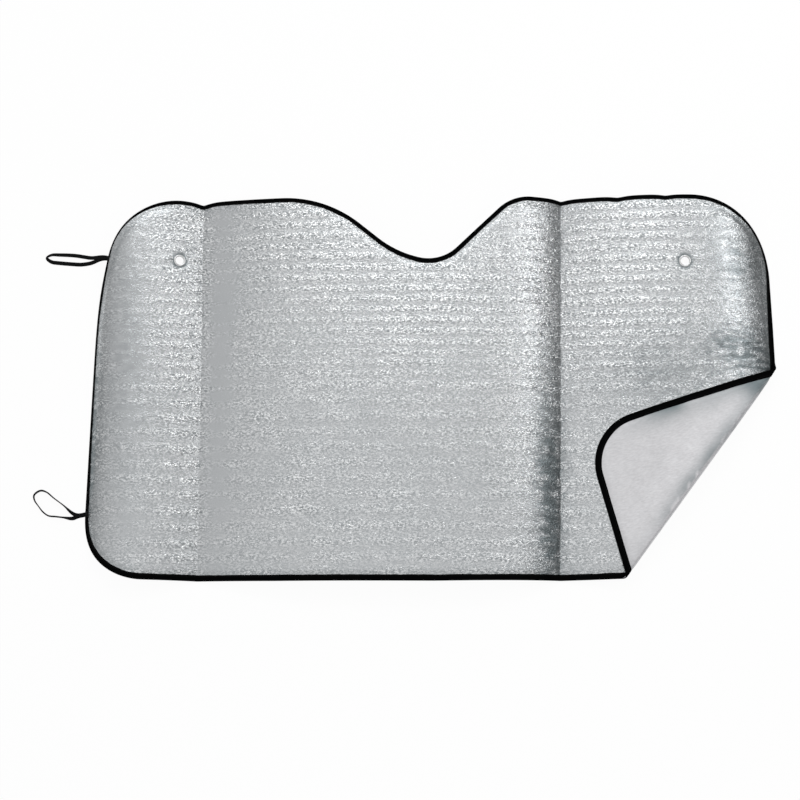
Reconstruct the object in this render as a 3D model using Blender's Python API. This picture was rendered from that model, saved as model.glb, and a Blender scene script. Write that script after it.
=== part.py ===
"""A folding windscreen sunshade for a car, lying on the floor with its foil front up.

The bubble foil sheet and its edge tape are made flat, in the plane of the blank. Then one corner
is folded over onto the front and the whole blank is arched over its three panels, which stand on
two pressed creases and on the side edges.

In the blank, u runs across the width, v runs up towards the mirror notch and n is the height
above the middle of the sheet, towards the front.
"""

import math

import bmesh
import bpy
import numpy as np
from mathutils import Matrix, Vector

MM = 0.001

# Outline of the blank
BOTTOM_WIDTH = 1500 * MM
TOP_WIDTH = 1466 * MM
BLANK_HEIGHT = 806 * MM
TOP_RIGHT_LIFT = 6 * MM
BOTTOM_BOW = 9 * MM
BOTTOM_BOW_RADIUS = 18000 * MM
BOTTOM_LEFT_CORNER_RADIUS = 135 * MM
BOTTOM_RIGHT_CORNER_RADIUS = 108 * MM
BOTTOM_RIGHT_LIFT = 9 * MM
TOP_LEFT_CORNER_RADIUS = 200 * MM
TOP_LEFT_INSET = 62 * MM
LEFT_TURN_HEIGHT = 150 * MM
LEFT_TURN_RADIUS = 600 * MM
BOTTOM_RIGHT_INSET = 20 * MM
RIGHT_TURN_HEIGHT = 40 * MM
RIGHT_TURN_RADIUS = 4000 * MM
TOP_RIGHT_CORNER_RADIUS = 178 * MM

# Notch for the mirror, in the middle of the top edge
NOTCH_DEPTH = 134 * MM
NOTCH_RADIUS = 92 * MM
NOTCH_SIDE_RADIUS = 214 * MM
NOTCH_FLOOR_SLOPE = math.radians(14)
NOTCH_LEFT_SLOPE = math.radians(39)
NOTCH_RIGHT_SLOPE = math.radians(44)
NOTCH_PLACE = -13 * MM
LEFT_SHOULDER_RADIUS = 280 * MM
RIGHT_SHOULDER_RADIUS = 105 * MM
MOST_ROUNDED = 0.49

# Bubble foil: full thickness, and thickness where it is pressed
SHEET_THICKNESS = 4.0 * MM
PRESSED_THICKNESS = 1.6 * MM
EDGE_TAPER = 8 * MM
CREASE_WIDTH = 9 * MM
CREASE_TAPER = 5 * MM

# Creases and the crowns of the three arched panels, across the blank
LEFT_CREASE = -497 * MM
RIGHT_CREASE = 283 * MM
LEFT_CROWN = -648 * MM
MIDDLE_CROWN = -80 * MM
RIGHT_CROWN = 505 * MM
LEFT_RISE = 38 * MM
MIDDLE_RISE = 54 * MM
RIGHT_RISE = 46 * MM
LEFT_BOTTOM_SHARE = 0.9
RIGHT_BOTTOM_SHARE = 0.6
TOP_SHARE = 1.1

# How sharply each half panel bends towards its foot: 2 is a parabola, more stays flat for longer
LEFT_OUTER_POWER = 2.2
LEFT_INNER_POWER = 1.6
MIDDLE_LEFT_POWER = 2.2
MIDDLE_RIGHT_POWER = 3.4
RIGHT_INNER_POWER = 1.5
RIGHT_OUTER_POWER = 3.0
STEEPEST_SINE = 0.97

# Corner folded over, measured from the blank's square lower right corner along its two edges
FOLD_ALONG_SIDE = 462 * MM
FOLD_ALONG_BOTTOM = 354 * MM
FOLD_RADIUS = 6 * MM
FLAP_SETTLE = 80 * MM
FLAP_GAP = 0.5 * MM

# Edge tape, folded round the edge and sewn through
TAPE_WIDTH = 12 * MM
TAPE_THICKNESS = 0.6 * MM
TAPE_BULGE = 0.45
GAP = 0.35 * MM

# Eyelets for the suction cups
EYELET_PLACES = {"left": (-548 * MM, 273 * MM), "right": (545 * MM, 266 * MM)}
EYELET_BORE = 18 * MM
EYELET_WALL = 0.8 * MM
EYELET_FLANGE = 26 * MM
EYELET_RIM = 1.6 * MM
EYELET_RIM_FOOT = 0.15
EYELET_BACK = 0.7 * MM
EYELET_SEAT_MARGIN = 0.6 * MM
EYELET_SEAT_TAPER = 4 * MM

# Elastic loops on the left edge that hold the folded shade together
ELASTIC_WIDTH = 8.5 * MM
ELASTIC_THICKNESS = 1.2 * MM
UPPER_LOOP_HEIGHT = 276 * MM
LOWER_LOOP_HEIGHT = -266 * MM
ELASTIC_SETTLE = 42 * MM

# Facets
ARC_STEP = math.radians(9)
TURN_STEP = math.radians(6)
BEND_STEP = 90 * MM
ROW_STEP = 100 * MM
FOLD_STEPS = 8
SETTLE_STEPS = 3
RIBBON_STEP = 5.5 * MM
RIBBON_SAMPLES = 24
BEND_SAMPLES = 400
EYELET_SIDES = 20
RIM_STEPS = 8

# Loop routes from the edge: distance out, distance up the edge, height of the band's middle over
# the floor, all in millimetres, and how far the band's outer face leans from straight up, in degrees
UPPER_LOOP_ROUTE = [
    (0, 1.5, 2.2, 0),
    (15, 5.0, 2.2, 0),
    (39, 7.5, 2.0, 6),
    (71, 12.6, 0.9, 8),
    (104, 14.0, 1.2, 20),
    (121, 13.6, 2.8, 48),
    (131, 7.0, 4.6, 76),
    (121, -1.4, 2.8, 48),
    (104, -3.9, 1.2, 20),
    (66, -6.7, 0.9, 8),
    (52, -6.3, 0.8, 4),
    (36, -3.6, 0.7, 0),
    (16, 0.4, 0.7, 0),
    (0, 0.4, 0.7, 0),
]
LOWER_LOOP_ROUTE = [
    (0, -0.6, 0.7, 0),
    (14, -4.2, 0.7, 0),
    (27, -9.0, 1.6, 30),
    (45, -7.0, 4.2, 72),
    (61, -5.2, 4.4, 80),
    (76, -3.4, 4.4, 80),
    (88, 5.0, 4.4, 80),
    (98, 17.6, 4.4, 80),
    (106, 29.6, 4.4, 76),
    (106.5, 41.0, 4.2, 70),
    (94, 49.4, 4.2, 70),
    (80, 45.6, 4.4, 78),
    (66, 34.0, 4.4, 80),
    (44, 17.6, 4.3, 74),
    (27, 2.6, 2.8, 34),
    (14, -2.4, 2.3, 0),
    (0, 0.6, 2.2, 0),
]

HALF_SHEET = SHEET_THICKNESS / 2
PINCH_WIDTH = TAPE_WIDTH + 1.0 * MM
TAPE_INNER = PRESSED_THICKNESS / 2 + GAP
TAPE_OUTER = TAPE_INNER + TAPE_THICKNESS
TAPE_NOSE = GAP + TAPE_THICKNESS
FOLD_ARC = math.pi * FOLD_RADIUS
ON_LINE = 1e-6
GAUSS_NODES, GAUSS_WEIGHTS = np.polynomial.legendre.leggauss(14)


def clear_scene():
    for thing in list(bpy.data.objects):
        bpy.data.objects.remove(thing, do_unlink=True)


def material(name, colour, metallic, roughness):
    made = bpy.data.materials.new(name)
    made.use_nodes = True
    shader = made.node_tree.nodes["Principled BSDF"]
    shader.inputs["Base Color"].default_value = (*colour, 1.0)
    shader.inputs["Metallic"].default_value = metallic
    shader.inputs["Roughness"].default_value = roughness
    return made


# Outline of the blank


def side_u(v, side):
    """Place of the straight side edge across the blank, at height v: side is 1 on the right, -1 on the left."""
    share = v / BLANK_HEIGHT + 0.5
    return side * (BOTTOM_WIDTH + (TOP_WIDTH - BOTTOM_WIDTH) * share) / 2


def notch_corners(top):
    """Square corners of the notch from right to left: the floor rises gently to the left before its side."""
    floor = top - NOTCH_DEPTH
    rise = math.tan(NOTCH_FLOOR_SLOPE)
    level = floor + NOTCH_RADIUS * (1 - 1 / math.cos(NOTCH_FLOOR_SLOPE))
    right_level = floor + NOTCH_RADIUS * (1 - 1 / math.cos(NOTCH_RIGHT_SLOPE))
    right_rise = math.tan(NOTCH_RIGHT_SLOPE)
    lowest = (level - right_level) / (rise + right_rise)
    bottom = level - rise * lowest
    floor_turn = (NOTCH_FLOOR_SLOPE + NOTCH_RIGHT_SLOPE) / 2
    side_turn = (NOTCH_LEFT_SLOPE - NOTCH_FLOOR_SLOPE) / 2
    run = NOTCH_RADIUS * math.tan(floor_turn) + NOTCH_SIDE_RADIUS * math.tan(side_turn)
    side = lowest - run * math.cos(NOTCH_FLOOR_SLOPE)
    side_bottom = level - rise * side
    right_top = top + TOP_RIGHT_LIFT
    return [
        (NOTCH_PLACE + (right_top - right_level) / right_rise, right_top, RIGHT_SHOULDER_RADIUS),
        (NOTCH_PLACE + lowest, bottom, NOTCH_RADIUS),
        (NOTCH_PLACE + side, side_bottom, NOTCH_SIDE_RADIUS),
        (NOTCH_PLACE + side - (top - side_bottom) / math.tan(NOTCH_LEFT_SLOPE), top, LEFT_SHOULDER_RADIUS),
    ]


def outline_corners():
    """Square corners of the blank, counterclockwise, each with the radius that rounds it."""
    bottom = -BLANK_HEIGHT / 2
    top = BLANK_HEIGHT / 2
    low_right = side_u(bottom, 1) - BOTTOM_RIGHT_INSET, bottom + BOTTOM_RIGHT_LIFT
    high_left = side_u(top, -1) + TOP_LEFT_INSET, top
    return [
        (side_u(bottom, -1), bottom, BOTTOM_LEFT_CORNER_RADIUS),
        (0.0, bottom - BOTTOM_BOW, BOTTOM_BOW_RADIUS),
        (*low_right, BOTTOM_RIGHT_CORNER_RADIUS),
        (side_u(RIGHT_TURN_HEIGHT, 1), RIGHT_TURN_HEIGHT, RIGHT_TURN_RADIUS),
        (side_u(top, 1), top + TOP_RIGHT_LIFT, TOP_RIGHT_CORNER_RADIUS),
        *notch_corners(top),
        (*high_left, TOP_LEFT_CORNER_RADIUS),
        (side_u(LEFT_TURN_HEIGHT, -1), LEFT_TURN_HEIGHT, LEFT_TURN_RADIUS),
    ]


def rounded(corners):
    """Points of an outline whose corners are rounded by arcs, no longer than the edges beside them."""
    points = []
    for index, (u, v, radius) in enumerate(corners):
        here = Vector((u, v))
        before = Vector(corners[index - 1][:2]) - here
        after = Vector(corners[(index + 1) % len(corners)][:2]) - here
        inward = before.normalized()
        onward = after.normalized()
        half_turn = (math.pi - inward.angle(onward)) / 2
        longest = MOST_ROUNDED * min(before.length, after.length)
        tangent = min(radius * math.tan(half_turn), longest)
        reach = tangent / math.sin(half_turn)
        centre = here + (inward + onward).normalized() * reach
        start = here + inward * tangent - centre
        turn = math.copysign(2 * half_turn, -inward.cross(onward))
        count = max(2, math.ceil(abs(turn) / ARC_STEP))
        for step in range(count + 1):
            points.append(centre + Matrix.Rotation(turn * step / count, 2) @ start)
    return np.array([tuple(point) for point in points])


def inset(points, distance):
    """The outline moved inwards by a distance, point for point."""
    ahead = np.roll(points, -1, axis=0) - points
    ahead /= np.linalg.norm(ahead, axis=1)[:, None]
    behind = np.roll(ahead, 1, axis=0)
    normal_ahead = np.stack([-ahead[:, 1], ahead[:, 0]], axis=1)
    normal_behind = np.stack([-behind[:, 1], behind[:, 0]], axis=1)
    middle = normal_ahead + normal_behind
    middle /= np.sum(middle * normal_ahead, axis=1)[:, None]
    return points + distance * middle


# Shape that the blank takes


def fold_line():
    """A point on the line where the fold starts and the unit direction from it towards the corner."""
    corner = Vector((side_u(-BLANK_HEIGHT / 2, 1), -BLANK_HEIGHT / 2))
    side_height = -BLANK_HEIGHT / 2 + FOLD_ALONG_SIDE
    on_side = Vector((side_u(side_height, 1), side_height))
    on_bottom = corner - Vector((FOLD_ALONG_BOTTOM, 0))
    along = (on_side - on_bottom).normalized()
    return on_bottom, Vector((along.y, -along.x))


def fold_corner(points):
    """Carry the corner beyond the fold line round a half turn and lay it on the front."""
    start, towards = fold_line()
    towards = np.array(towards)
    beyond = (points[:, :2] - np.array(start)) @ towards
    height = points[:, 2]
    foot = points[:, :2] - beyond[:, None] * towards
    angle = np.clip(beyond / FOLD_RADIUS, 0, math.pi)
    past = beyond - FOLD_ARC
    settled = np.clip(past / FLAP_SETTLE, 0, 1)
    settled = settled * settled * (3 - 2 * settled)
    drop = (2 * FOLD_RADIUS - SHEET_THICKNESS - FLAP_GAP) * settled
    reach = np.where(past > 0, -past, (FOLD_RADIUS - height) * np.sin(angle))
    raised = FOLD_RADIUS - (FOLD_RADIUS - height) * np.cos(angle) - drop
    folded = np.column_stack([foot + reach[:, None] * towards, raised])
    return np.where(beyond[:, None] > 0, folded, points)


def half_arch(reach, half, rise, power):
    """Level run, drop and sine of the slope of half a panel, at a reach along the sheet from its crown.

    The drop is rise * (reach / half) ** power, so the sine of the slope is its derivative, and the
    level run is the integral of the cosine, which keeps the sheet's own length.
    """
    share = reach / half
    foot_sine = rise * power / half
    samples = share[:, None] * (GAUSS_NODES + 1) / 2
    sines = np.minimum(foot_sine[:, None] * samples ** (power - 1), STEEPEST_SINE)
    run = reach * (np.sqrt(1 - sines**2) @ GAUSS_WEIGHTS) / 2
    sine = np.minimum(foot_sine * share ** (power - 1), STEEPEST_SINE)
    return run, rise * share**power, sine


def half_panels(v, side):
    """Half panels and creases met on the way from the middle crown to one side edge.

    Each is its kind, its length along the sheet, its rise and its power.
    """
    level = np.ones_like(v)
    up = v / BLANK_HEIGHT + 0.5
    lift = LEFT_BOTTOM_SHARE + (TOP_SHARE - LEFT_BOTTOM_SHARE) * up
    right_lift = RIGHT_BOTTOM_SHARE + (TOP_SHARE - RIGHT_BOTTOM_SHARE) * up
    outer_lift = right_lift if side > 0 else lift
    if side > 0:
        crease, crown, rise = RIGHT_CREASE, RIGHT_CROWN, RIGHT_RISE
        powers = MIDDLE_RIGHT_POWER, RIGHT_INNER_POWER, RIGHT_OUTER_POWER
    else:
        crease, crown, rise = LEFT_CREASE, LEFT_CROWN, LEFT_RISE
        powers = MIDDLE_LEFT_POWER, LEFT_INNER_POWER, LEFT_OUTER_POWER
    half_crease = CREASE_WIDTH / 2
    return [
        ("fall", (side * (crease - MIDDLE_CROWN) - half_crease) * level, MIDDLE_RISE * lift, powers[0]),
        ("crease", CREASE_WIDTH * level, 0 * level, 1.0),
        ("climb", (side * (crown - crease) - half_crease) * level, rise * outer_lift, powers[1]),
        ("fall", side * (side_u(v, side) - crown), rise * outer_lift, powers[2]),
    ]


def walk(distance, v, side):
    """Level run, height and slope after a distance along the sheet from the middle crown."""
    halves = half_panels(v, side)
    run = np.zeros_like(distance)
    height = halves[0][2].copy()
    slope = np.zeros_like(distance)
    start = np.zeros_like(distance)
    for number, (kind, length, rise, power) in enumerate(halves):
        last = number == len(halves) - 1
        part = np.clip(distance - start, 0, None if last else length)
        inside = distance > start + ON_LINE
        if kind == "fall":
            step, drop, sine = half_arch(part, length, rise, power)
            run += step
            height -= drop
            slope = np.where(inside, -sine, slope)
        elif kind == "climb":
            whole, all_rise, _ = half_arch(length, length, rise, power)
            left, left_rise, sine = half_arch(length - part, length, rise, power)
            run += whole - left
            height += all_rise - left_rise
            slope = np.where(inside, sine, slope)
        else:
            run += part
            slope = np.where(distance > start - ON_LINE, 0, slope)
        start = start + length
    return run, height, slope


def arch(points):
    """Arch the panels: each point keeps its height over the sheet's middle, along the sheet's normal."""
    u, v, n = points.T
    placed = np.empty_like(points)
    for side in (-1, 1):
        chosen = side * (u - MIDDLE_CROWN) >= 0
        if not chosen.any():
            continue
        run, height, slope = walk(np.abs(u[chosen] - MIDDLE_CROWN), v[chosen], side)
        level = np.sqrt(1 - slope**2)
        placed[chosen, 0] = MIDDLE_CROWN + side * (run - n[chosen] * slope)
        placed[chosen, 1] = v[chosen]
        placed[chosen, 2] = height + n[chosen] * level
    return placed


def bend_shares(length, rise, power):
    """Shares of a half panel, from its crown, that turn and travel by even steps between them."""
    share = np.linspace(0, 1, BEND_SAMPLES)
    sines = np.minimum(rise * power / length * share ** (power - 1), STEEPEST_SINE)
    effort = np.arcsin(sines) / TURN_STEP + share * length / BEND_STEP
    count = max(2, math.ceil(effort[-1]))
    return np.interp(np.linspace(0, effort[-1], count + 1), effort, share)


def bend_lines():
    """Straight lines across the blank along which it bends, each as its u at the bottom and at the top."""
    ends = np.array([-BLANK_HEIGHT / 2, BLANK_HEIGHT / 2])
    lines = [np.full(2, MIDDLE_CROWN)]
    for side in (-1, 1):
        start = np.full(2, MIDDLE_CROWN)
        halves = half_panels(ends, side)
        for number, (kind, length, rise, power) in enumerate(halves):
            if kind == "crease":
                shares = np.array([0.0, 1.0])
            else:
                shares = bend_shares(length.mean(), rise.mean(), power)
            if number in (0, 2):
                taper = 1 - CREASE_TAPER / length.mean()
                shares[1 + np.argmin(abs(shares[1:-1] - taper))] = taper
            if kind == "climb":
                shares = 1 - shares[::-1]
            if number == len(halves) - 1:
                shares = shares[:-1]
            lines += [start + side * length * share for share in shares[1:]]
            start = start + side * length
    return lines


def cut(flat, point, normal):
    """Cut every face along the upright plane through a point of the blank."""
    everything = flat.verts[:] + flat.edges[:] + flat.faces[:]
    bmesh.ops.bisect_plane(
        flat, geom=everything, plane_co=(*point, 0), plane_no=(*normal, 0), dist=ON_LINE
    )


def move(flat, change):
    """Move all vertices by a function of their positions."""
    points = np.array([vertex.co[:] for vertex in flat.verts])
    for vertex, place in zip(flat.verts, change(points)):
        vertex.co = place


def shape(flat):
    """Fold the corner of a flat piece and arch it, after cutting its faces where they have to bend."""
    start, towards = fold_line()
    turns = [FOLD_ARC * step / FOLD_STEPS for step in range(FOLD_STEPS + 1)]
    settles = [FOLD_ARC + FLAP_SETTLE * step / SETTLE_STEPS for step in range(1, SETTLE_STEPS + 1)]
    for beyond in turns + settles:
        cut(flat, start + beyond * towards, towards)
    move(flat, fold_corner)
    half = BLANK_HEIGHT / 2
    for low, high in bend_lines():
        along = Vector((high - low, BLANK_HEIGHT))
        cut(flat, (low, -half), (along.y, -along.x))
    rows = math.ceil(BLANK_HEIGHT / ROW_STEP)
    for row in range(1, rows):
        cut(flat, (0, -half + BLANK_HEIGHT * row / rows), (0, 1))
    bmesh.ops.triangulate(flat, faces=flat.faces[:])
    move(flat, arch)
    bmesh.ops.recalc_face_normals(flat, faces=flat.faces[:])
    return flat


# Pieces


def add_object(name, source, look, parent):
    """A smooth shaded object from a bmesh, under the shade's own empty."""
    mesh = bpy.data.meshes.new(name)
    source.to_mesh(mesh)
    source.free()
    mesh.shade_smooth()
    mesh.set_sharp_from_angle(angle=math.radians(35))
    mesh.materials.append(look)
    made = bpy.data.objects.new(name, mesh)
    made.parent = parent
    bpy.context.scene.collection.objects.link(made)
    return made


def pressed_blank(outline):
    """The blank as one layer of faces, with how far it is pinched for the tape stored on its vertices."""
    flat = bmesh.new()
    pinch = flat.verts.layers.float.new("pinch")
    loops = []
    for distance, pressed in ((0, 1.0), (PINCH_WIDTH, 1.0), (PINCH_WIDTH + EDGE_TAPER, 0.0)):
        loop = [flat.verts.new((*point, 0)) for point in inset(outline, distance)]
        for vertex in loop:
            vertex[pinch] = pressed
        loops.append(loop)
    for outer, inner in zip(loops, loops[1:]):
        for index in range(len(outer)):
            after = (index + 1) % len(outer)
            flat.faces.new((outer[index], outer[after], inner[after], inner[index]))
    flat.faces.new(loops[-1])
    half_crease = CREASE_WIDTH / 2
    for crease in (LEFT_CREASE, RIGHT_CREASE):
        for offset in (-half_crease - CREASE_TAPER, -half_crease, half_crease, half_crease + CREASE_TAPER):
            cut(flat, (crease + offset, 0), (1, 0))
    return flat


def sheet_faces(points, pinch):
    """Lower and upper height of the sheet's faces at each point of the blank.

    The edge is pinched to its middle, and a crease is pressed down from the front.
    """
    nearest = np.minimum(abs(points[:, 0] - LEFT_CREASE), abs(points[:, 0] - RIGHT_CREASE))
    crease = np.clip(1 - (nearest - CREASE_WIDTH / 2) / CREASE_TAPER, 0, 1)
    lost = SHEET_THICKNESS - PRESSED_THICKNESS
    thickness = SHEET_THICKNESS - lost * np.maximum(pinch, crease)
    middle = -lost / 2 * crease * (1 - pinch)
    return middle - thickness / 2, middle + thickness / 2


def flat_sheet(outline):
    """The blank as a closed flat solid with its pinched edge and pressed creases."""
    layer = pressed_blank(outline)
    pinch = layer.verts.layers.float["pinch"]
    points = np.array([vertex.co[:] for vertex in layer.verts])
    lower, upper = sheet_faces(points, np.array([vertex[pinch] for vertex in layer.verts]))
    rims = [edge for edge in layer.edges if edge.is_boundary]
    layer.verts.index_update()
    solid = bmesh.new()
    below = [solid.verts.new((u, v, n)) for (u, v, _), n in zip(points, lower)]
    above = [solid.verts.new((u, v, n)) for (u, v, _), n in zip(points, upper)]
    for face in layer.faces:
        order = [vertex.index for vertex in face.verts]
        solid.faces.new([above[index] for index in order])
        solid.faces.new([below[index] for index in reversed(order)])
    for rim in rims:
        first, second = (vertex.index for vertex in rim.verts)
        solid.faces.new((below[first], below[second], above[second], above[first]))
    layer.free()
    return solid


def flat_tape(outline):
    """The edge tape as a flat closed ring: its folded section swept round the outline."""
    bulge = TAPE_OUTER * TAPE_BULGE
    section = [
        (TAPE_WIDTH, TAPE_OUTER),
        (TAPE_THICKNESS, TAPE_OUTER),
        (-TAPE_NOSE, bulge),
        (-TAPE_NOSE, -bulge),
        (TAPE_THICKNESS, -TAPE_OUTER),
        (TAPE_WIDTH, -TAPE_OUTER),
        (TAPE_WIDTH, -TAPE_INNER),
        (-GAP, -TAPE_INNER),
        (-GAP, TAPE_INNER),
        (TAPE_WIDTH, TAPE_INNER),
    ]
    ring = bmesh.new()
    strands = []
    for distance, height in section:
        strands.append([ring.verts.new((*point, height)) for point in inset(outline, distance)])
    for one, other in zip(strands, strands[1:] + strands[:1]):
        for index in range(len(one)):
            after = (index + 1) % len(one)
            ring.faces.new((one[index], one[after], other[after], other[index]))
    return ring


def turned(profile, sides):
    """A closed body turned about Z from a closed profile of radius and height points."""
    body = bmesh.new()
    rings = []
    for step in range(sides):
        angle = 2 * math.pi * step / sides
        across = Vector((math.cos(angle), math.sin(angle), 0))
        rings.append([body.verts.new(radius * across + Vector((0, 0, z))) for radius, z in profile])
    for ring, following in zip(rings, rings[1:] + rings[:1]):
        for index in range(len(profile)):
            after = (index + 1) % len(profile)
            body.faces.new((ring[index], following[index], following[after], ring[after]))
    bmesh.ops.recalc_face_normals(body, faces=body.faces[:])
    return body


def eyelet_profile():
    """The clinched ring: a barrel through the foil, a rounded rim in front and a flat collar behind."""
    bore = EYELET_BORE / 2
    barrel = bore + EYELET_WALL
    flange = EYELET_FLANGE / 2
    seat = PRESSED_THICKNESS / 2 + GAP
    rim_middle = (bore + flange) / 2
    rim_half = (flange - bore) / 2
    rim = []
    for step in range(RIM_STEPS + 1):
        angle = math.pi * step / RIM_STEPS
        rim.append((rim_middle + rim_half * math.cos(angle), seat + EYELET_RIM * math.sin(angle)))
    foot = seat + EYELET_RIM_FOOT * EYELET_RIM
    rim[0] = (flange, foot)
    rim[-1] = (bore, foot)
    back = [(bore, -seat - EYELET_BACK), (flange, -seat - EYELET_BACK), (flange, -seat)]
    return rim + back + [(barrel, -seat), (barrel, seat), (flange, seat)]


def seat_cutter():
    """A closed hourglass body about Z: it punches the hole and presses a flat seat on both faces."""
    hole = EYELET_BORE / 2 + EYELET_WALL + GAP
    seat = EYELET_FLANGE / 2 + EYELET_SEAT_MARGIN
    wide = seat + 2 * EYELET_SEAT_TAPER
    half = PRESSED_THICKNESS / 2
    clear = half + SHEET_THICKNESS - PRESSED_THICKNESS
    upper = [(wide, clear), (seat, half), (hole, half)]
    profile = upper + [(radius, -z) for radius, z in upper[::-1]]
    body = bmesh.new()
    rings = []
    for radius, z in profile:
        ring = []
        for step in range(EYELET_SIDES):
            angle = 2 * math.pi * step / EYELET_SIDES
            ring.append(body.verts.new((radius * math.cos(angle), radius * math.sin(angle), z)))
        rings.append(ring)
    for one, other in zip(rings, rings[1:]):
        for index in range(EYELET_SIDES):
            after = (index + 1) % EYELET_SIDES
            body.faces.new((one[index], one[after], other[after], other[index]))
    body.faces.new(rings[0])
    body.faces.new(rings[-1])
    bmesh.ops.recalc_face_normals(body, faces=body.faces[:])
    return body


def place_on_sheet(thing, u, v):
    """Stand an object on the sheet's middle at a point of the blank, its Z along the sheet's normal."""
    reach = EYELET_FLANGE / 2
    spots = np.array([(u, v, 0), (u - reach, v, 0), (u + reach, v, 0), (u, v - reach, 0), (u, v + reach, 0)])
    middle, left, right, low, high = (Vector(spot) for spot in arch(spots))
    across = (right - left).normalized()
    normal = across.cross(high - low).normalized()
    turn = Matrix((across, normal.cross(across), normal)).transposed()
    thing.location = (left + right + low + high) / 4
    thing.rotation_euler = turn.to_euler()


def smooth_route(points):
    """Points at even steps on a smooth curve through the route, with its values carried along."""
    padded = np.vstack([2 * points[0] - points[1], points, 2 * points[-1] - points[-2]])
    fine = []
    share = np.linspace(0, 1, RIBBON_SAMPLES, endpoint=False)[:, None]
    for before, one, other, after in zip(padded, padded[1:], padded[2:], padded[3:]):
        bend = 2 * before - 5 * one + 4 * other - after
        twist = 3 * one - before - 3 * other + after
        fine.append(one + share * (other - before + share * (bend + share * twist)) / 2)
    fine = np.vstack(fine + [points[-1:]])
    travelled = np.concatenate([[0], np.cumsum(np.linalg.norm(np.diff(fine[:, :3], axis=0), axis=1))])
    stops = np.linspace(0, travelled[-1], math.ceil(travelled[-1] / RIBBON_STEP) + 1)
    return np.column_stack([np.interp(stops, travelled, column) for column in fine.T])


def elastic_band(route, root_height):
    """A flat elastic band swept along its route, its outer face turned by the route's lean."""
    points = smooth_route(np.array(route) * (MM, -MM, MM, 1))
    away = np.clip(points[:, 0] / ELASTIC_SETTLE, 0, 1)
    spots = points[:, :3].copy()
    spots[:, 2] += root_height * (1 - away * away * (3 - 2 * away))
    heading = np.gradient(spots, axis=0)
    heading[0] = (1, 0, 0)
    heading[-1] = (-1, 0, 0)
    heading /= np.linalg.norm(heading, axis=1)[:, None]
    x, y = points[:, 0], points[:, 1]
    turning = np.sign(np.sum(x * np.roll(y, -1) - y * np.roll(x, -1)))
    level = np.column_stack([heading[:, 1], -heading[:, 0], 0 * x]) * turning
    lean = np.radians(points[:, 3])[:, None]
    outer = np.cos(lean) * np.array([0, 0, 1]) + np.sin(lean) * level
    across = np.cross(heading, outer)
    across /= np.linalg.norm(across, axis=1)[:, None]
    outer = np.cross(across, heading)
    reach_down = abs(across[:, 2]) * ELASTIC_WIDTH / 2 + abs(outer[:, 2]) * ELASTIC_THICKNESS / 2
    spots[:, 2] = np.maximum(spots[:, 2], reach_down)
    body = bmesh.new()
    sections = []
    corners = ((1, 1), (-1, 1), (-1, -1), (1, -1))
    for spot, side, face in zip(spots, across, outer):
        section = []
        for wide, thick in corners:
            corner = spot + side * wide * ELASTIC_WIDTH / 2 + face * thick * ELASTIC_THICKNESS / 2
            section.append(body.verts.new(corner))
        sections.append(section)
    for one, other in zip(sections, sections[1:]):
        for index in range(4):
            after = (index + 1) % 4
            body.faces.new((one[index], one[after], other[after], other[index]))
    body.faces.new(sections[0])
    body.faces.new(sections[-1])
    bmesh.ops.recalc_face_normals(body, faces=body.faces[:])
    return body


def edge_spot(outline, v):
    """Point of the blank's left edge at height v."""
    after = np.roll(outline, -1, axis=0)
    crosses = (outline[:, 1] - v) * (after[:, 1] - v) <= 0
    low, high = outline[crosses], after[crosses]
    share = (v - low[:, 1]) / (high[:, 1] - low[:, 1])
    return np.min(low[:, 0] + share * (high[:, 0] - low[:, 0]))


def loop_place(outline, v):
    """Where a loop leaves the tape: its place on the floor, and the height of the edge over the floor."""
    reach = ELASTIC_WIDTH / 2
    spots = np.array([(edge_spot(outline, v + up), v + up, 0) for up in (0, -reach, reach)])
    root, low, high = arch(spots)
    clear = TAPE_NOSE + TAPE_THICKNESS + abs(high[0] - low[0]) / 2
    return (root[0] - clear, root[1], -HALF_SHEET), root[2]


def make_sheet(outline, parent):
    look = material("silver bubble foil", (0.72, 0.73, 0.735), 0.9, 0.34)
    sheet = add_object("foil_sheet", shape(flat_sheet(outline)), look, parent)
    for name, place in EYELET_PLACES.items():
        cutter = add_object(f"{name}_eyelet_cutter", seat_cutter(), look, parent)
        place_on_sheet(cutter, *place)
        cutter.hide_render = True
        cutter.display_type = "WIRE"
        hole = sheet.modifiers.new(f"{name} eyelet hole", "BOOLEAN")
        hole.operation = "DIFFERENCE"
        hole.object = cutter
    return sheet


def make_binding(outline, parent):
    look = material("black edge tape", (0.012, 0.012, 0.013), 0.0, 0.75)
    return add_object("edge_binding", shape(flat_tape(outline)), look, parent)


def make_eyelets(parent):
    look = material("bright eyelet", (0.80, 0.81, 0.82), 1.0, 0.22)
    eyelets = []
    for name, place in EYELET_PLACES.items():
        eyelet = add_object(f"{name}_eyelet", turned(eyelet_profile(), EYELET_SIDES), look, parent)
        place_on_sheet(eyelet, *place)
        eyelets.append(eyelet)
    return eyelets


def make_loops(outline, parent):
    look = material("black elastic", (0.016, 0.016, 0.017), 0.0, 0.85)
    loops = []
    for name, v, route in (
        ("upper_elastic_loop", UPPER_LOOP_HEIGHT, UPPER_LOOP_ROUTE),
        ("lower_elastic_loop", LOWER_LOOP_HEIGHT, LOWER_LOOP_ROUTE),
    ):
        place, root_height = loop_place(outline, v)
        loop = add_object(name, elastic_band(route, root_height), look, parent)
        loop.location = place
        loop.rotation_euler = (0, 0, math.pi)
        loops.append(loop)
    return loops


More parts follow.
